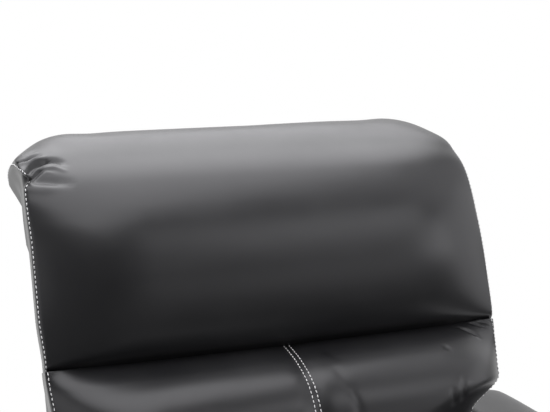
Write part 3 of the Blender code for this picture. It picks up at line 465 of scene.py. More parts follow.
def make_material(name, group, strength, distance, metallic=0.0, specular=0.5):
    material = bpy.data.materials.new(name)
    material.use_nodes = True
    tree = material.node_tree
    shader = tree.nodes["Principled BSDF"]
    shader.inputs["Metallic"].default_value = metallic
    shader.inputs["Specular IOR Level"].default_value = specular
    finish = add_node(tree, "ShaderNodeGroup", node_tree=group)
    relief = add_node(tree, "ShaderNodeBump", {"Strength": strength, "Distance": distance})
    tree.links.new(finish.outputs["Color"], shader.inputs["Base Color"])
    tree.links.new(finish.outputs["Roughness"], shader.inputs["Roughness"])
    tree.links.new(finish.outputs["Height"], relief.inputs["Height"])
    tree.links.new(relief.outputs["Normal"], shader.inputs["Normal"])
    return material


LEATHER = make_material("leather", leather_group(), 0.12, 0.0003)
PLY = make_material(
    "frame_wood", grain_group("frame_grain", (0.50, 0.34, 0.19), (0.36, 0.22, 0.11), (30, 2, 30), 1.2), 0.15, 0.0004
)
LEVER_WOOD = make_material(
    "lever_wood", grain_group("lever_grain", (0.16, 0.075, 0.035), (0.06, 0.026, 0.012), (40, 4, 40), 1.4), 0.1, 0.0003
)
STEEL = make_material(
    "steel", mottled_group("plated_steel", (0.42, 0.42, 0.43), (0.33, 0.33, 0.34), 40, 0.28, 0.42), 0.05, 0.0002, 1.0
)
PLASTIC = make_material(
    "plastic", mottled_group("moulded_plastic", (0.02, 0.02, 0.02), (0.03, 0.03, 0.03), 90, 0.42, 0.55), 0.1, 0.0002
)
WEBBING = make_material("webbing", weave_group(), 0.4, 0.0005)
THREAD_WHITE = make_material(
    "thread", mottled_group("sewing_thread", (0.93, 0.93, 0.92), (0.82, 0.82, 0.81), 900, 0.55, 0.7), 0.2, 0.0002
)

BY_SLOT = {
    "leather": LEATHER,
    "frame_wood": PLY,
    "lever_wood": LEVER_WOOD,
    "steel": STEEL,
    "plastic": PLASTIC,
    "webbing": WEBBING,
}
for entry in frame["record"]["subparts"]:
    node = frame["nodes"][entry["node"]]
    node.data.materials.clear()
    node.data.materials.append(BY_SLOT[entry["material_slot"]])


# Head pillow

PILLOW_HALF_WIDTH = 0.3245
PILLOW_FOOT = 0.3885
RAIL_TOP = 0.5826
PILLOW_CORNER = (0.081, 0.076)  # length over which the top rolls down to its two end seams
PILLOW_SAG = 0.010  # how far the belly hangs
PILLOW_TILT = 0.0022  # how much fuller the top is at one end
PILLOW_OVER = [
    (0.093, PILLOW_FOOT),
    (0.1155, 0.409),
    (0.1315, 0.444),
    (0.1395, 0.500),
    (0.1305, 0.5640),
    (0.0985, 0.6210),
    (0.050, 0.6670),
    (0.000, 0.7075),
    (-0.036, 0.7225),
    (-0.061, 0.7105),
    (-0.068, 0.670),
]
PILLOW_REAR = [  # after the last knot of the line over the front and top
    (-0.0690, 0.648),
    (-0.0660, 0.625),
    (-0.0580, 0.604),
    (-0.0430, 0.590),
    (-0.0240, 0.5845),
    (-0.0050, RAIL_TOP),
    (CUSHION_PLANE, RAIL_TOP),
    (CUSHION_PLANE, 0.48),
    (CUSHION_PLANE, PILLOW_FOOT),
]
PILLOW_LEFT_END = [  # of the end with the tucked corner, on the sitter's right
    (0.088, PILLOW_FOOT),
    (0.097, 0.400),
    (0.099, 0.450),
    (0.100, 0.510),
    (0.099, 0.570),
    (0.095, 0.612),
    (0.090, 0.636),
    (0.062, 0.650),
    (0.016, 0.664),
    (-0.030, 0.671),
    (-0.066, 0.662),
]
PILLOW_RIGHT_END = [
    (0.088, PILLOW_FOOT),
    (0.095, 0.400),
    (0.0965, 0.450),
    (0.0960, 0.510),
    (0.089, 0.570),
    (0.077, 0.614),
    (0.060, 0.642),
    (0.035, 0.663),
    (0.005, 0.676),
    (-0.030, 0.679),
    (-0.066, 0.665),
]


def pillow_outline(over):
    return section(over, 6, [over[-1], *PILLOW_REAR], [PILLOW_REAR[-1], over[0]])


pillow_section = pillow_outline(PILLOW_OVER)
pillow_left_section = pillow_outline(PILLOW_LEFT_END)
pillow_right_section = pillow_outline(PILLOW_RIGHT_END)


def pillow_half_width(front, height, left):
    """The ends draw in towards the rear and the foot, and stand out in an ear behind each top corner."""
    width = 0.3165 + 0.0080 * smoothstep(front, 0.01, 0.10) + 0.0018 * smoothstep(height, 0.54, 0.60)
    width += (0.0105 if left else 0.006) * bump(height, 0.670, 0.019) * smoothstep(front, 0.088, 0.045)
    if left:
        width -= 0.004 * smoothstep(height, 0.46, 0.39)
    return width - 0.015 * smoothstep(height, 0.655, 0.60) * smoothstep(front, 0.0, -0.04)


def place_pillow(u, v, w):
    middle = pillow_section(v, w)
    end = pillow_left_section(v, w) if u < 0 else pillow_right_section(v, w)
    out = 0.5 * u + 0.5 * math.sin(math.pi / 2 * u)
    inward = (1 - abs(out)) * PILLOW_HALF_WIDTH
    round_side = max(0.0, 1 - inward / 0.15) ** 2.4
    bend = max(0.0, 1 - inward / PILLOW_CORNER[u > 0])
    round_top = 1 - math.sqrt(max(0.0, 1 - bend**2))
    turn = smoothstep(middle[1], 0.57, 0.68)
    front, height = middle.lerp(end, lerp(round_side, round_top, turn))
    hang = smoothstep(front, 0.077, 0.12) * (1 - u * u)
    height -= PILLOW_SAG * hang * max(0.0, RAIL_TOP - height) / (RAIL_TOP - PILLOW_FOOT)
    height += PILLOW_TILT * out * smoothstep(height, 0.60, 0.70)
    width = pillow_half_width(front, height, u < 0)
    if u < 0:
        near = bump(math.hypot(front - 0.090, height - 0.636), 0.0, 0.010)
        width -= 0.011 * near * smoothstep(u, -0.9, -1.0)
    return on_back(out * width, front, height)


def sewn_round(spot):
    """Points that stay while a cover is stuffed: its rear, its foot and the seams round its two ends."""
    u, v, w = spot
    return v > 1 - 1e-5 or w < -1 + 1e-5 or (abs(u) > 1 - 1e-5 and max(abs(v), abs(w)) > 1 - 1e-5)


def shares(spots, ends, rest):
    """How much of the stuffing's move the flat ends and the rest of a cover keep."""
    return np.array([ends if abs(spot[0]) > 1 - 1e-5 else rest for spot in spots]).reshape(-1, 1)


PILLOW_CELLS = (116, 40, 76)
# Folds that run from the tucked corner: places on the back, half width, depth at the start, middle and end
GATHERS = [
    ([(-0.3255, 0.047, 0.663), (-0.315, 0.050, 0.6685), (-0.303, 0.042, 0.675), (-0.290, 0.039, 0.678)],
     0.0044, (0.0050, 0.0056, 0.0)),
    ([(-0.316, 0.078, 0.6445), (-0.3065, 0.0635, 0.658), (-0.289, 0.0545, 0.665), (-0.276, 0.0565, 0.664),
      (-0.266, 0.065, 0.6565)], 0.0052, (0.0070, 0.0095, 0.0006)),
    ([(-0.3125, 0.0845, 0.637), (-0.302, 0.076, 0.643), (-0.2935, 0.075, 0.647)], 0.0038, (0.0055, 0.0048, 0.0)),
    ([(-0.3075, 0.0865, 0.632), (-0.284, 0.091, 0.6295), (-0.259, 0.098, 0.622)], 0.0085, (0.0036, 0.0042, 0.0)),
    ([(-0.325, 0.030, 0.672), (-0.3115, 0.0285, 0.682), (-0.293, 0.016, 0.693)], 0.0030, (-0.0016, -0.0016, 0.0)),
    ([(-0.3245, 0.056, 0.6585), (-0.3035, 0.050, 0.6695), (-0.283, 0.047, 0.6715)], 0.0036, (-0.0024, -0.0030, 0.0)),
    ([(-0.313, 0.078, 0.6425), (-0.305, 0.075, 0.649), (-0.2835, 0.070, 0.6515), (-0.270, 0.077, 0.6455)],
     0.0036, (-0.0018, -0.0034, -0.0008)),
    ([(-0.312, 0.085, 0.6365), (-0.297, 0.075, 0.641), (-0.2825, 0.079, 0.6405)], 0.0036, (-0.0016, -0.0018, 0.0)),
    ([(-0.3205, 0.0935, 0.622), (-0.2985, 0.096, 0.6175), (-0.281, 0.098, 0.6155)], 0.0070, (-0.0012, -0.0016, 0.0)),
]
pillow, pillow_spots = morphed_box("head_pillow_cover", PILLOW_CELLS, place_pillow, LEATHER)
stuff(pillow, [sewn_round(spot) for spot in pillow_spots], 0.024, shares(pillow_spots, 0.04, 0.25))
pillow_rows = []
pillow_folds = []
for side in (-1, 1):
    inset = side * (1 - 2 / PILLOW_CELLS[0])
    end_seam, inner = (
        column(pillow, pillow_spots, {0: u, 1: -1}, 2) + column(pillow, pillow_spots, {0: u, 2: 1}, 1)[1:]
        for u in (side, inset)
    )
    pillow_folds.append((end_seam, *SEAM_GROOVE))
    pillow_rows.append([a.lerp(b, 0.55) for a, b in zip(end_seam, inner)])
refine(pillow, seam_edges(pillow, pillow_spots), FIRM_SEAM)
press_folds(pillow, pillow_folds + folds_on_back(GATHERS))
finish_soft(pillow, "back", ["head_pillow"])
pillow_tree = surface(pillow)

# Lower back cushion

LUMBAR_FOOT = 0.0205
LUMBAR_TOP = 0.3892
LUMBAR_BULGE = [
    (LUMBAR_FOOT, 0.055),
    (0.10, 0.100),
    (0.19, 0.143),
    (0.27, 0.165),
    (0.325, 0.156),
    (0.362, 0.120),
    (LUMBAR_TOP, 0.072),
]
LUMBAR_SIDE_DEPTH = 0.080  # of the front seam at the two sides
LUMBAR_DRAW = 0.022  # how much the sides draw in towards the rear


def lumbar_width(height):
    width = lerp(0.25, 0.262, smoothstep(height, 0.0, 0.12))
    return width + 0.054 * smoothstep(height, 0.262, 0.310) + 0.0055 * smoothstep(height, 0.31, 0.388)


def place_lumbar(u, v, w):
    height, depth = curve(LUMBAR_BULGE, (w + 1) / 2)
    width = lumbar_width(height)
    out = 0.7 * u + 0.3 * math.sin(math.pi / 2 * u)
    x = out * width
    round_side = max(0.0, 1 - (1 - abs(out)) * width / 0.13) ** 2.4
    sewn = 0.0045 * bump(x, 0.0, 0.014) * smoothstep(w, -1.0, -0.8)
    side_depth = lerp(depth * 0.8, LUMBAR_SIDE_DEPTH, smoothstep(height, 0.15, 0.25))
    depth = lerp(depth, side_depth, round_side) - sewn
    return on_back(x * (1 - LUMBAR_DRAW * (v + 1) / 2), CUSHION_PLANE + depth * (1 - v) / 2, height)


def sewn_lumbar(spot):
    u, v, w = spot
    return v > 1 - 1e-5 or abs(w) > 1 - 1e-5 or (abs(u) > 1 - 1e-5 and v < -1 + 1e-5) or abs(u) < 0.01


LUMBAR_CELLS = (116, 14, 76)
# Creases that hang from the seam under the pillow and rise from the foot, given as the gathers are
WRINKLES = [
    ([(0.256, 0.100, 0.383), (0.2735, 0.114, 0.372), (0.283, 0.121, 0.360)], 0.0036, (0.0022, 0.0025, 0.0)),
    ([(0.284, 0.095, 0.384), (0.296, 0.100, 0.381), (0.307, 0.101, 0.377)], 0.0036, (0.0022, 0.0024, 0.0)),
    ([(0.298, 0.092, 0.385), (0.3095, 0.096, 0.380), (0.316, 0.099, 0.373)], 0.0040, (-0.0015, -0.0024, 0.0)),
    ([(0.211, 0.138, 0.362), (0.2125, 0.1435, 0.3575), (0.213, 0.154, 0.349)], 0.0040, (0.0, 0.0012, 0.0)),
    ([(0.214, 0.174, 0.322), (0.211, 0.1765, 0.305), (0.209, 0.178, 0.290)], 0.0045, (0.0, 0.0016, 0.0024)),
    ([(0.1935, 0.180, 0.308), (0.1935, 0.181, 0.297), (0.1935, 0.180, 0.285)], 0.0045, (0.0, 0.0013, 0.0020)),
    ([(0.042, 0.120, 0.374), (0.0447, 0.1275, 0.369), (0.0542, 0.145, 0.357)], 0.0060, (0.0008, 0.0010, 0.0)),
    ([(0.042, 0.159, 0.345), (0.0467, 0.174, 0.325), (0.0525, 0.181, 0.3075), (0.0546, 0.1835, 0.292)],
     0.0070, (0.0006, 0.0015, 0.0012)),
]
lumbar, lumbar_spots = morphed_box("lower_back_cover", LUMBAR_CELLS, place_lumbar, LEATHER)
stuff(lumbar, [sewn_lumbar(spot) for spot in lumbar_spots], 0.02, shares(lumbar_spots, 0.04, 0.7))
lumbar_rows = []
lumbar_folds = []
for side in (-1, 1):
    inset = side * (1 - 2 / LUMBAR_CELLS[0])
    lumbar_rows.append(column(lumbar, lumbar_spots, {0: inset, 1: -1}, 2))
    lumbar_folds.append((column(lumbar, lumbar_spots, {0: side, 1: -1}, 2), *SEAM_GROOVE))
refine(lumbar, seam_edges(lumbar, lumbar_spots), FIRM_SEAM)
press_folds(lumbar, lumbar_folds + folds_on_back(WRINKLES))
finish_soft(lumbar, "back", ["lumbar_cushion"])
lumbar_tree = surface(lumbar)

# Rear panel and sides of the back

REAR_FACE = -0.0155
REAR_THICKNESS = 0.033
REAR_FOOT, REAR_TOP = -0.049, 0.571
REAR_MIDDLE = 0.261


def place_rear_panel(u, v, w):
    height = lerp(REAR_FOOT, REAR_TOP, (w + 1) / 2)
    width = 0.249 + 0.05 * smoothstep(height, 0.262, 0.305)
    swell = 0.62 + 0.38 * superellipse(u, 4) * superellipse(w, 4)
    front = REAR_FACE - (REAR_THICKNESS * swell) * (v + 1) / 2
    corner = 1 - 0.03 * (abs(u) * abs(w)) ** 8
    return on_back(u * width * corner, front, REAR_MIDDLE + (height - REAR_MIDDLE) * corner)


rear_panel, rear_spots = morphed_box("rear_panel_cover", (60, 6, 64), place_rear_panel, LEATHER)
refine(rear_panel, seam_edges(rear_panel, rear_spots), SOFT_SEAM)
finish_soft(rear_panel, "back", ["rear_back_panel"])


STRIP_FOOT, STRIP_TOP = 0.225, 0.5805
STRIP_FRONT, STRIP_REAR = 0.0172, -0.0152
STRIP_INNER = 0.2512  # on the post
STRIP_RAIL_INNER = 0.3005  # on the end of the top rail
STRIP_RAIL_FOOT = 0.5395
STRIP_OUTER = 0.300
STRIP_SWELL = 0.010
STRIP_THIN_OUTER = 0.2545  # beside the arm


def place_side_strip(side):
    def place(u, v, w):
        height = lerp(STRIP_FOOT, STRIP_TOP, (w + 1) / 2)
        outer = STRIP_OUTER + STRIP_SWELL * superellipse(w, 6) * superellipse(v, 4)
        outer = lerp(STRIP_THIN_OUTER, outer, smoothstep(height, 0.314, 0.322))
        inner = STRIP_INNER
        if height >= STRIP_RAIL_FOOT:
            inner, outer = STRIP_RAIL_INNER, STRIP_RAIL_INNER + outer - STRIP_OUTER
        return on_back(side * lerp(inner, outer, (u + 1) / 2), lerp(STRIP_FRONT, STRIP_REAR, (v + 1) / 2), height)

    return place


for side, label in ((1, "left"), (-1, "right")):
    strip, _ = morphed_box(f"{label}_back_side_cover", (12, 8, 66), place_side_strip(side), LEATHER)
    refine(strip, (), 0.0)
    finish_soft(strip, "back", [f"{label}_back_wing"])

# Stitches of the back

CENTRE_ROW = 0.0037  # from the centre seam
back_rows = [(pillow_tree, row) for row in pillow_rows] + [(lumbar_tree, row) for row in lumbar_rows]
for side in (-1, 1):
    centre = [on_back(side * CENTRE_ROW, 0.3, lerp(0.06, 0.386, i / 60)) for i in range(61)]
    straight_in = on_back(0, 0, 0) - on_back(0, 1, 0)
    back_rows.append((lumbar_tree, [lumbar_tree.ray_cast(p, straight_in)[0] for p in centre]))
add_stitches("back_stitches", back_rows, "back", THREAD_WHITE)

# Seat cushion

SEAT_OVER = [
    (0.3815, 0.3797),
    (0.402, 0.394),
    (0.409, 0.435),
    (0.396, 0.473),
    (0.35, 0.490),
    (0.17, 0.497),
    (0.02, 0.491),
    (-0.055, 0.480),
]
SEAT_REAR = [(-0.055, 0.480), (-0.077, 0.455), (-0.066, 0.4098)]
SEAT_UNDER = [(-0.066, 0.4098), (0.15, 0.4098), (0.3812, 0.4098), (0.3815, 0.3797)]
SEAT_ANCHOR = Vector((0.3813, 0.4098))
SEAT_HALF_WIDTH = 0.266
seat_section = section(SEAT_OVER, 3, SEAT_REAR, SEAT_UNDER)


def place_seat(u, v, w):
    draw = 0.74 + 0.26 * superellipse(u, 7)
    forward, up = SEAT_ANCHOR + (seat_section(v, w) - SEAT_ANCHOR) * draw
    return on_chair(u * SEAT_HALF_WIDTH, forward, up)


SEAT_CELLS = (90, 76, 18)
seat, seat_spots = morphed_box("seat_cover", SEAT_CELLS, place_seat, LEATHER)
stuff(seat, [sewn_round(spot) for spot in seat_spots], 0.02, shares(seat_spots, 0.1, 0.4))
seat_rows = [column(seat, seat_spots, {1: -1 + 2 / SEAT_CELLS[1], 2: 1}, 0)]
for side in (-1, 1):
    seat_rows.append(column(seat, seat_spots, {0: side * (1 - 2 / SEAT_CELLS[0]), 2: 1}, 1))
refine(seat, seam_edges(seat, seat_spots), SOFT_SEAM)
finish_soft(seat, "seat", ["seat_cushion"])
seat_tree = surface(seat)
add_stitches("seat_stitches", [(seat_tree, row) for row in seat_rows], "seat", THREAD_WHITE)

# Footrest pad

FOOTREST_OVER = [
    (0.470, 0.130),
    (0.489, 0.165),
    (0.494, 0.26),
    (0.489, 0.355),
    (0.470, 0.390),
    (0.455, 0.3940),
    (0.4398, 0.3945),
]
FOOTREST_FACE = [(0.4398, 0.3945), (0.4398, 0.26), (0.4398, 0.1255)]
FOOTREST_UNDER = [(0.4398, 0.1255), (0.455, 0.126), (0.470, 0.130)]
FOOTREST_ANCHOR = Vector((0.4398, 0.26))
FOOTREST_HALF_WIDTH = 0.264
footrest_section = section(FOOTREST_OVER, 4, FOOTREST_FACE, FOOTREST_UNDER)


def place_footrest(u, v, w):
    draw = 0.72 + 0.28 * superellipse(u, 7)
    point = footrest_section(v, w) - FOOTREST_ANCHOR
    forward = FOOTREST_ANCHOR[0] + point[0] * draw
    up = FOOTREST_ANCHOR[1] + point[1] * lerp(1, draw, 0.15)
    return on_chair(u * FOOTREST_HALF_WIDTH, forward, up)


FOOTREST_CELLS = (90, 12, 50)
footrest, footrest_spots = morphed_box("footrest_cover", FOOTREST_CELLS, place_footrest, LEATHER)
stuff(footrest, [sewn_round(spot) for spot in footrest_spots], 0.02, shares(footrest_spots, 0.1, 0.5))
footrest_rows = [column(footrest, footrest_spots, {1: -1, 2: 1 - 2 / FOOTREST_CELLS[2]}, 0)]
for side in (-1, 1):
    footrest_rows.append(column(footrest, footrest_spots, {0: side * (1 - 2 / FOOTREST_CELLS[0]), 1: -1}, 2))
refine(footrest, seam_edges(footrest, footrest_spots), SOFT_SEAM)
finish_soft(footrest, "footrest", ["footrest_pad"])
footrest_tree = surface(footrest)
add_stitches("footrest_stitches", [(footrest_tree, row) for row in footrest_rows], "footrest", THREAD_WHITE)

# Arms

ARM_MIDDLE = 0.34
ARM_INNER = 0.2757
ARM_FRAME_REAR, ARM_FRAME_FRONT = -0.2803, 0.4203  # past these the cover wraps round the wooden frame
LEVER_PIVOT = Vector((0.26, 0.325))  # forward and up, of the torque tube
LEVER_TRAVEL = Vector((0.05, 0.013))  # of the tube, with the seat
LEVER_SLOT_RADIUS = 0.0155
LEVER_SLOT_START, LEVER_SLOT_LENGTH = 0.25, 0.17  # across the arm
ARM_PAD_FOOT = 0.5858
ARM_PAD_REAR, ARM_PAD_FRONT = -0.309, 0.449
ARM_COVER_REAR, ARM_COVER_FRONT = -0.295, 0.4355
ARM_COVER_MIDDLE = Vector((0.338, 0.32))
ARM_PAD_OVER = [
    (-0.0615, ARM_PAD_FOOT),
    (-0.0645, 0.606),
    (-0.060, 0.630),
    (-0.040, 0.645),
    (0.0, 0.6495),
    (0.040, 0.645),
    (0.060, 0.630),
]
ARM_PAD_OUTER = [(0.060, 0.630), (0.0645, 0.606), (0.0615, ARM_PAD_FOOT)]
ARM_PAD_UNDER = [(0.0615, ARM_PAD_FOOT), (-0.0615, ARM_PAD_FOOT)]
arm_pad_section = section(ARM_PAD_OVER, 2, ARM_PAD_OUTER, ARM_PAD_UNDER, curve)


def place_arm_pad(side):
    def place(u, v, w):
        x, up = arm_pad_section(v, w)
        full = superellipse(u, 5)
        rise = (up - ARM_PAD_FOOT) * lerp(0.55 if u > 0 else 0.9, 1.0, full)
        across = ARM_MIDDLE + x * lerp(0.84, 1.0, full)
        return on_chair(side * across, lerp(ARM_PAD_REAR, ARM_PAD_FRONT, (u + 1) / 2), ARM_PAD_FOOT + rise)

    return place


ARM_COVER_OVER = [
    (0.2942, 0.0505),
    (0.2942, 0.225),
    (0.2942, 0.4002),
    (ARM_INNER, 0.4008),
    (ARM_INNER, 0.49),
    (ARM_INNER, 0.574),
    (0.2835, 0.5848),
    (0.333, 0.5848),
    (0.382, 0.5848),
    (0.3890, 0.574),
]
ARM_COVER_OUTER = [(0.3890, 0.574), (0.3905, 0.45), (0.3910, 0.31), (0.3905, 0.17), (0.3880, 0.0505)]
ARM_COVER_UNDER = [(0.3880, 0.0505), (0.34, 0.0505), (0.2942, 0.0505)]


def arm_cover_outline(v, w):
    share = 5 / 9  # of the knots, up to the inner top edge
    if v <= -1 + 1e-6:
        return bent(ARM_COVER_OVER, share * (w + 1) / 2)
    if w >= 1 - 1e-6:
        return bent(ARM_COVER_OVER, lerp(share, 1, (v + 1) / 2))
    if v >= 1 - 1e-6:
        return curve(ARM_COVER_OUTER, (1 - w) / 2)
    return bent(ARM_COVER_UNDER, (1 - v) / 2)


def place_arm_cover(side):
    def place(u, v, w):
        most = max(abs(v), abs(w), 1e-6)
        x, up = ARM_COVER_MIDDLE.lerp(arm_cover_outline(v / most, w / most), most)
        end = 0.004 * (1 - most**4) * math.copysign(1, u) if abs(u) > 1 - 1e-6 else 0.0
        forward = lerp(ARM_COVER_REAR, ARM_COVER_FRONT, (u + 1) / 2)
        if not ARM_FRAME_REAR < forward < ARM_FRAME_FRONT and v < -1 + 1e-6:
            x = ARM_INNER
        return on_chair(side * x, forward + end, up)

    return place


def cut_slot(obj, side):
    """The slot through the lever's arm, along the way of the torque tube."""
    bm = bmesh.new()
    turn = math.atan2(LEVER_TRAVEL[1], LEVER_TRAVEL[0])
    rim = []
    for i in range(24):
        angle = turn + math.pi / 2 + 2 * math.pi * i / 24
        shift = LEVER_TRAVEL if i > 12 else Vector((0, 0))
        forward, up = LEVER_PIVOT + shift + LEVER_SLOT_RADIUS * Vector((math.cos(angle), math.sin(angle)))
        rim.append(bm.verts.new(on_chair(side * LEVER_SLOT_START, forward, up)))
    disc = bm.faces.new(rim)
    pushed = bmesh.ops.extrude_face_region(bm, geom=[disc])["geom"]
    moved = [g for g in pushed if isinstance(g, bmesh.types.BMVert)]
    bmesh.ops.translate(bm, verts=moved, vec=(side * LEVER_SLOT_LENGTH, 0, 0))
    bmesh.ops.recalc_face_normals(bm, faces=bm.faces[:])
    mesh = bpy.data.meshes.new("slot_cutter")
    bm.to_mesh(mesh)
    bm.free()
    cutter = link("slot_cutter", mesh, LEATHER)
    cut = obj.modifiers.new("slot", "BOOLEAN")
    cut.object = cutter
    cut.operation = "DIFFERENCE"
    cut.solver = "EXACT"
    keep_result(obj)
    bpy.data.objects.remove(cutter)
    bpy.data.meshes.remove(mesh)


for side, label in ((1, "left"), (-1, "right")):
    pad, pad_spots = morphed_box(f"{label}_arm_pad_cover", (96, 18, 10), place_arm_pad(side), LEATHER)
    pad_rows = [column(pad, pad_spots, {1: edge * (1 - 4 / 18), 2: 1}, 0) for edge in (-1, 1)]
    refine(pad, seam_edges(pad, pad_spots), SOFT_SEAM)
    finish_soft(pad, "base", [f"{label}_arm_pad"])
    pad_tree = surface(pad)
    add_stitches(f"{label}_arm_pad_stitches", [(pad_tree, row) for row in pad_rows], "base", THREAD_WHITE)
    cover, cover_spots = morphed_box(f"{label}_arm_panel_cover", (70, 12, 54), place_arm_cover(side), LEATHER)
    refine(cover, seam_edges(cover, cover_spots), SOFT_SEAM)
    if side < 0:
        cut_slot(cover, side)
    finish_soft(cover, "base", [f"{label}_arm_cover"])

# Rear base panel

BASE_PANEL_HALF_WIDTH = 0.2740
BASE_PANEL_FRONT = -0.2782
BASE_PANEL_THICKNESS = 0.0196
BASE_PANEL_FOOT, BASE_PANEL_TOP = 0.0525, 0.2915


def place_base_panel(u, v, w):
    swell = 0.7 + 0.3 * superellipse(u, 6) * superellipse(w, 6)
    forward = BASE_PANEL_FRONT - BASE_PANEL_THICKNESS * swell * (v + 1) / 2
    return on_chair(u * BASE_PANEL_HALF_WIDTH, forward, lerp(BASE_PANEL_FOOT, BASE_PANEL_TOP, (w + 1) / 2))


base_panel, base_panel_spots = morphed_box("rear_base_cover", (50, 4, 26), place_base_panel, LEATHER)
refine(base_panel, seam_edges(base_panel, base_panel_spots), SOFT_SEAM)
finish_soft(base_panel, "base", ["rear_base_panel"])

# Rounded hard pieces


def rounded_copy(node, name, body, width, material):
    """The CAD node with its edges rounded off."""
    bm = bmesh.new()
    bm.from_mesh(frame["nodes"][node].data)
    bmesh.ops.remove_doubles(bm, verts=bm.verts[:], dist=1e-6)
    mesh = bpy.data.meshes.new(name)
    bm.to_mesh(mesh)
    bm.free()
    obj = link(name, mesh, material)
    edges = obj.modifiers.new("edges", "BEVEL")
    edges.width = width
    edges.segments = 3
    edges.limit_method = "ANGLE"
    edges.harden_normals = True
    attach(obj, body)
    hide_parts(node)
    return obj


rounded_copy("front_stretcher", "front_rail_wrap", "base", 0.004, LEATHER)
rounded_copy("hand_lever", "lever_handle", "long_links", 0.005, LEVER_WOOD)
for end in ("front", "rear"):
    for label in ("left", "right"):
        foot = rounded_copy(f"{end}_{label}_foot", f"{end}_{label}_foot_cap", "base", 0.002, PLASTIC)


# Studio

FLOOR_RADIUS = 1.9
FLOOR_FADE = (0.9, 1.85)  # from the middle, where the floor turns into the white background
WORLD_LIGHT = 0.15
PICTURE_WIDTH, FOCAL_LENGTH = 550, 1052  # in points of the picture
CAMERA_FROM_HINGE = Vector((-0.49925, -1.21443, 0.84))
CAMERA_DOWN, CAMERA_TURN = math.radians(10.65), math.radians(21.0)


def shows_background(tree, place, near, far):
    """Mask of the rays that see the white background.

    Camera rays see it anywhere, and glossy and transmission rays behind the chair, from near to far along y.
    """
    ray = add_node(tree, "ShaderNodeLightPath").outputs
    y = add_node(tree, "ShaderNodeSeparateXYZ", {0: place}).outputs["Y"]
    behind = add_node(
        tree, "ShaderNodeMapRange", {"Value": y, "From Min": near, "From Max": far}, interpolation_type="SMOOTHSTEP"
    )
    mirrored = add_node(
        tree, "ShaderNodeMath", {0: ray["Is Glossy Ray"], 1: ray["Is Transmission Ray"]}, operation="MAXIMUM"
    )
    mirrored = add_node(
        tree, "ShaderNodeMath", {0: mirrored.outputs[0], 1: behind.outputs["Result"]}, operation="MULTIPLY"
    )
    shown = add_node(
        tree, "ShaderNodeMath", {0: ray["Is Camera Ray"], 1: mirrored.outputs[0]}, operation="MAXIMUM"
    )
    return shown.outputs[0]


floor_mesh = bpy.data.meshes.new("floor")
bm = bmesh.new()
bmesh.ops.create_circle(bm, cap_ends=True, segments=96, radius=FLOOR_RADIUS)
bm.to_mesh(floor_mesh)
bm.free()
FLOOR = make_material(
    "floor", mottled_group("pale_floor", (0.86, 0.86, 0.86), (0.84, 0.84, 0.84), 3, 0.6, 0.7), 0.02, 0.001
)
tree = FLOOR.node_tree
place = add_node(tree, "ShaderNodeTexCoord").outputs["Object"]
away = add_node(tree, "ShaderNodeVectorMath", {0: place}, operation="LENGTH").outputs["Value"]
fade = add_node(
    tree,
    "ShaderNodeMapRange",
    {"Value": away, "From Min": FLOOR_FADE[0], "From Max": FLOOR_FADE[1]},
    interpolation_type="SMOOTHSTEP",
)
shown = shows_background(tree, place, 0.25, 1.0)
seen = add_node(tree, "ShaderNodeMath", {0: fade.outputs["Result"], 1: shown}, operation="MULTIPLY")
white = add_node(tree, "ShaderNodeEmission", {"Color": (1, 1, 1, 1), "Strength": 1.0})
blend = add_node(tree, "ShaderNodeMixShader", {0: seen.outputs[0]})
tree.links.new(tree.nodes["Principled BSDF"].outputs[0], blend.inputs[1])
tree.links.new(white.outputs[0], blend.inputs[2])
tree.links.new(blend.outputs[0], tree.nodes["Material Output"].inputs["Surface"])
floor = link("floor", floor_mesh, FLOOR)

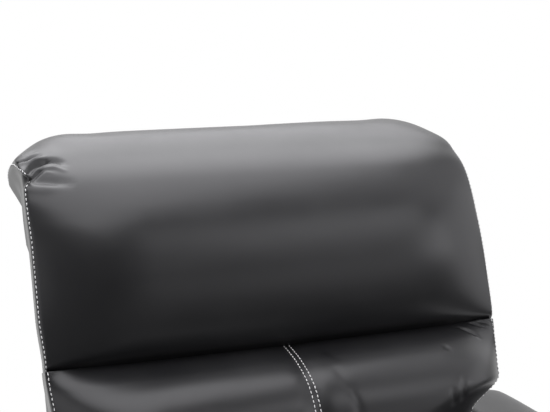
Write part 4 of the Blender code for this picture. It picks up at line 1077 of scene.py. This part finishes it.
world = bpy.data.worlds.new("studio")
world.use_nodes = True
scene.world = world
tree = world.node_tree
back_light = tree.nodes["Background"]
back_light.inputs["Color"].default_value = (1, 1, 1, 1)
direction = add_node(tree, "ShaderNodeTexCoord").outputs["Generated"]
shown = shows_background(tree, direction, 0.25, 0.6)
seen = add_node(tree, "ShaderNodeMapRange", {"Value": shown, "To Min": WORLD_LIGHT, "To Max": 1.0})
tree.links.new(seen.outputs["Result"], back_light.inputs["Strength"])


def add_light(name, place, target, size, energy, spin=0.0):
    """A soft panel that faces its target, turned in its own plane by spin."""
    data = bpy.data.lights.new(name, "AREA")
    data.shape = "RECTANGLE"
    data.color = (0.97, 0.965, 1.0)
    data.size, data.size_y = size
    data.energy = energy
    obj = bpy.data.objects.new(name, data)
    obj.location = place
    aim = (Vector(target) - Vector(place)).to_track_quat("-Z", "Y")
    obj.rotation_mode = "QUATERNION"
    obj.rotation_quaternion = aim @ Matrix.Rotation(spin, 3, "Z").to_quaternion()
    obj.visible_camera = False
    scene.collection.objects.link(obj)


add_light("overhead", (-0.13, 1.16, 2.7), (-0.13, 1.16, 0), (4.4, 2.4), 96, math.radians(53))
add_light("overhead_rear", (-0.5, 2.6, 2.7), (-0.5, 2.6, 0), (4.0, 1.2), 29)
add_light("right_panel", (3.0, -0.4, 1.4), (0, 0.1, 0.8), (2.0, 2.0), 16)
add_light("right_rear_panel", (2.6, 1.4, 1.6), (0, 0.1, 0.8), (1.6, 1.6), 7)
add_light("right_high_panel", (1.7, 0.1, 2.8), (0.1, 0.2, 0.8), (1.4, 1.8), 8)
add_light("left_panel", (-3.0, -0.4, 1.4), (0, 0.1, 0.8), (2.0, 2.0), 14)
add_light("front_right_panel", (2.6, -1.8, 2.0), (0, 0.2, 0.9), (1.5, 1.2), 14)
add_light("front_high_panel", (1.3, -1.6, 2.9), (0, 0.2, 0.9), (1.5, 1.0), 12)
add_light("front_low_panel", (1.2, -2.8, 1.5), (0, 0.2, 0.9), (1.5, 1.0), 5)

camera_data = bpy.data.cameras.new("camera")
camera_data.sensor_fit = "HORIZONTAL"
camera_data.lens = FOCAL_LENGTH / PICTURE_WIDTH * camera_data.sensor_width
camera = bpy.data.objects.new("camera", camera_data)
camera.location = HINGE + CAMERA_FROM_HINGE
camera.rotation_euler = (math.pi / 2 - CAMERA_DOWN, 0, -CAMERA_TURN)
scene.collection.objects.link(camera)
scene.camera = camera
scene.view_settings.view_transform = "Standard"
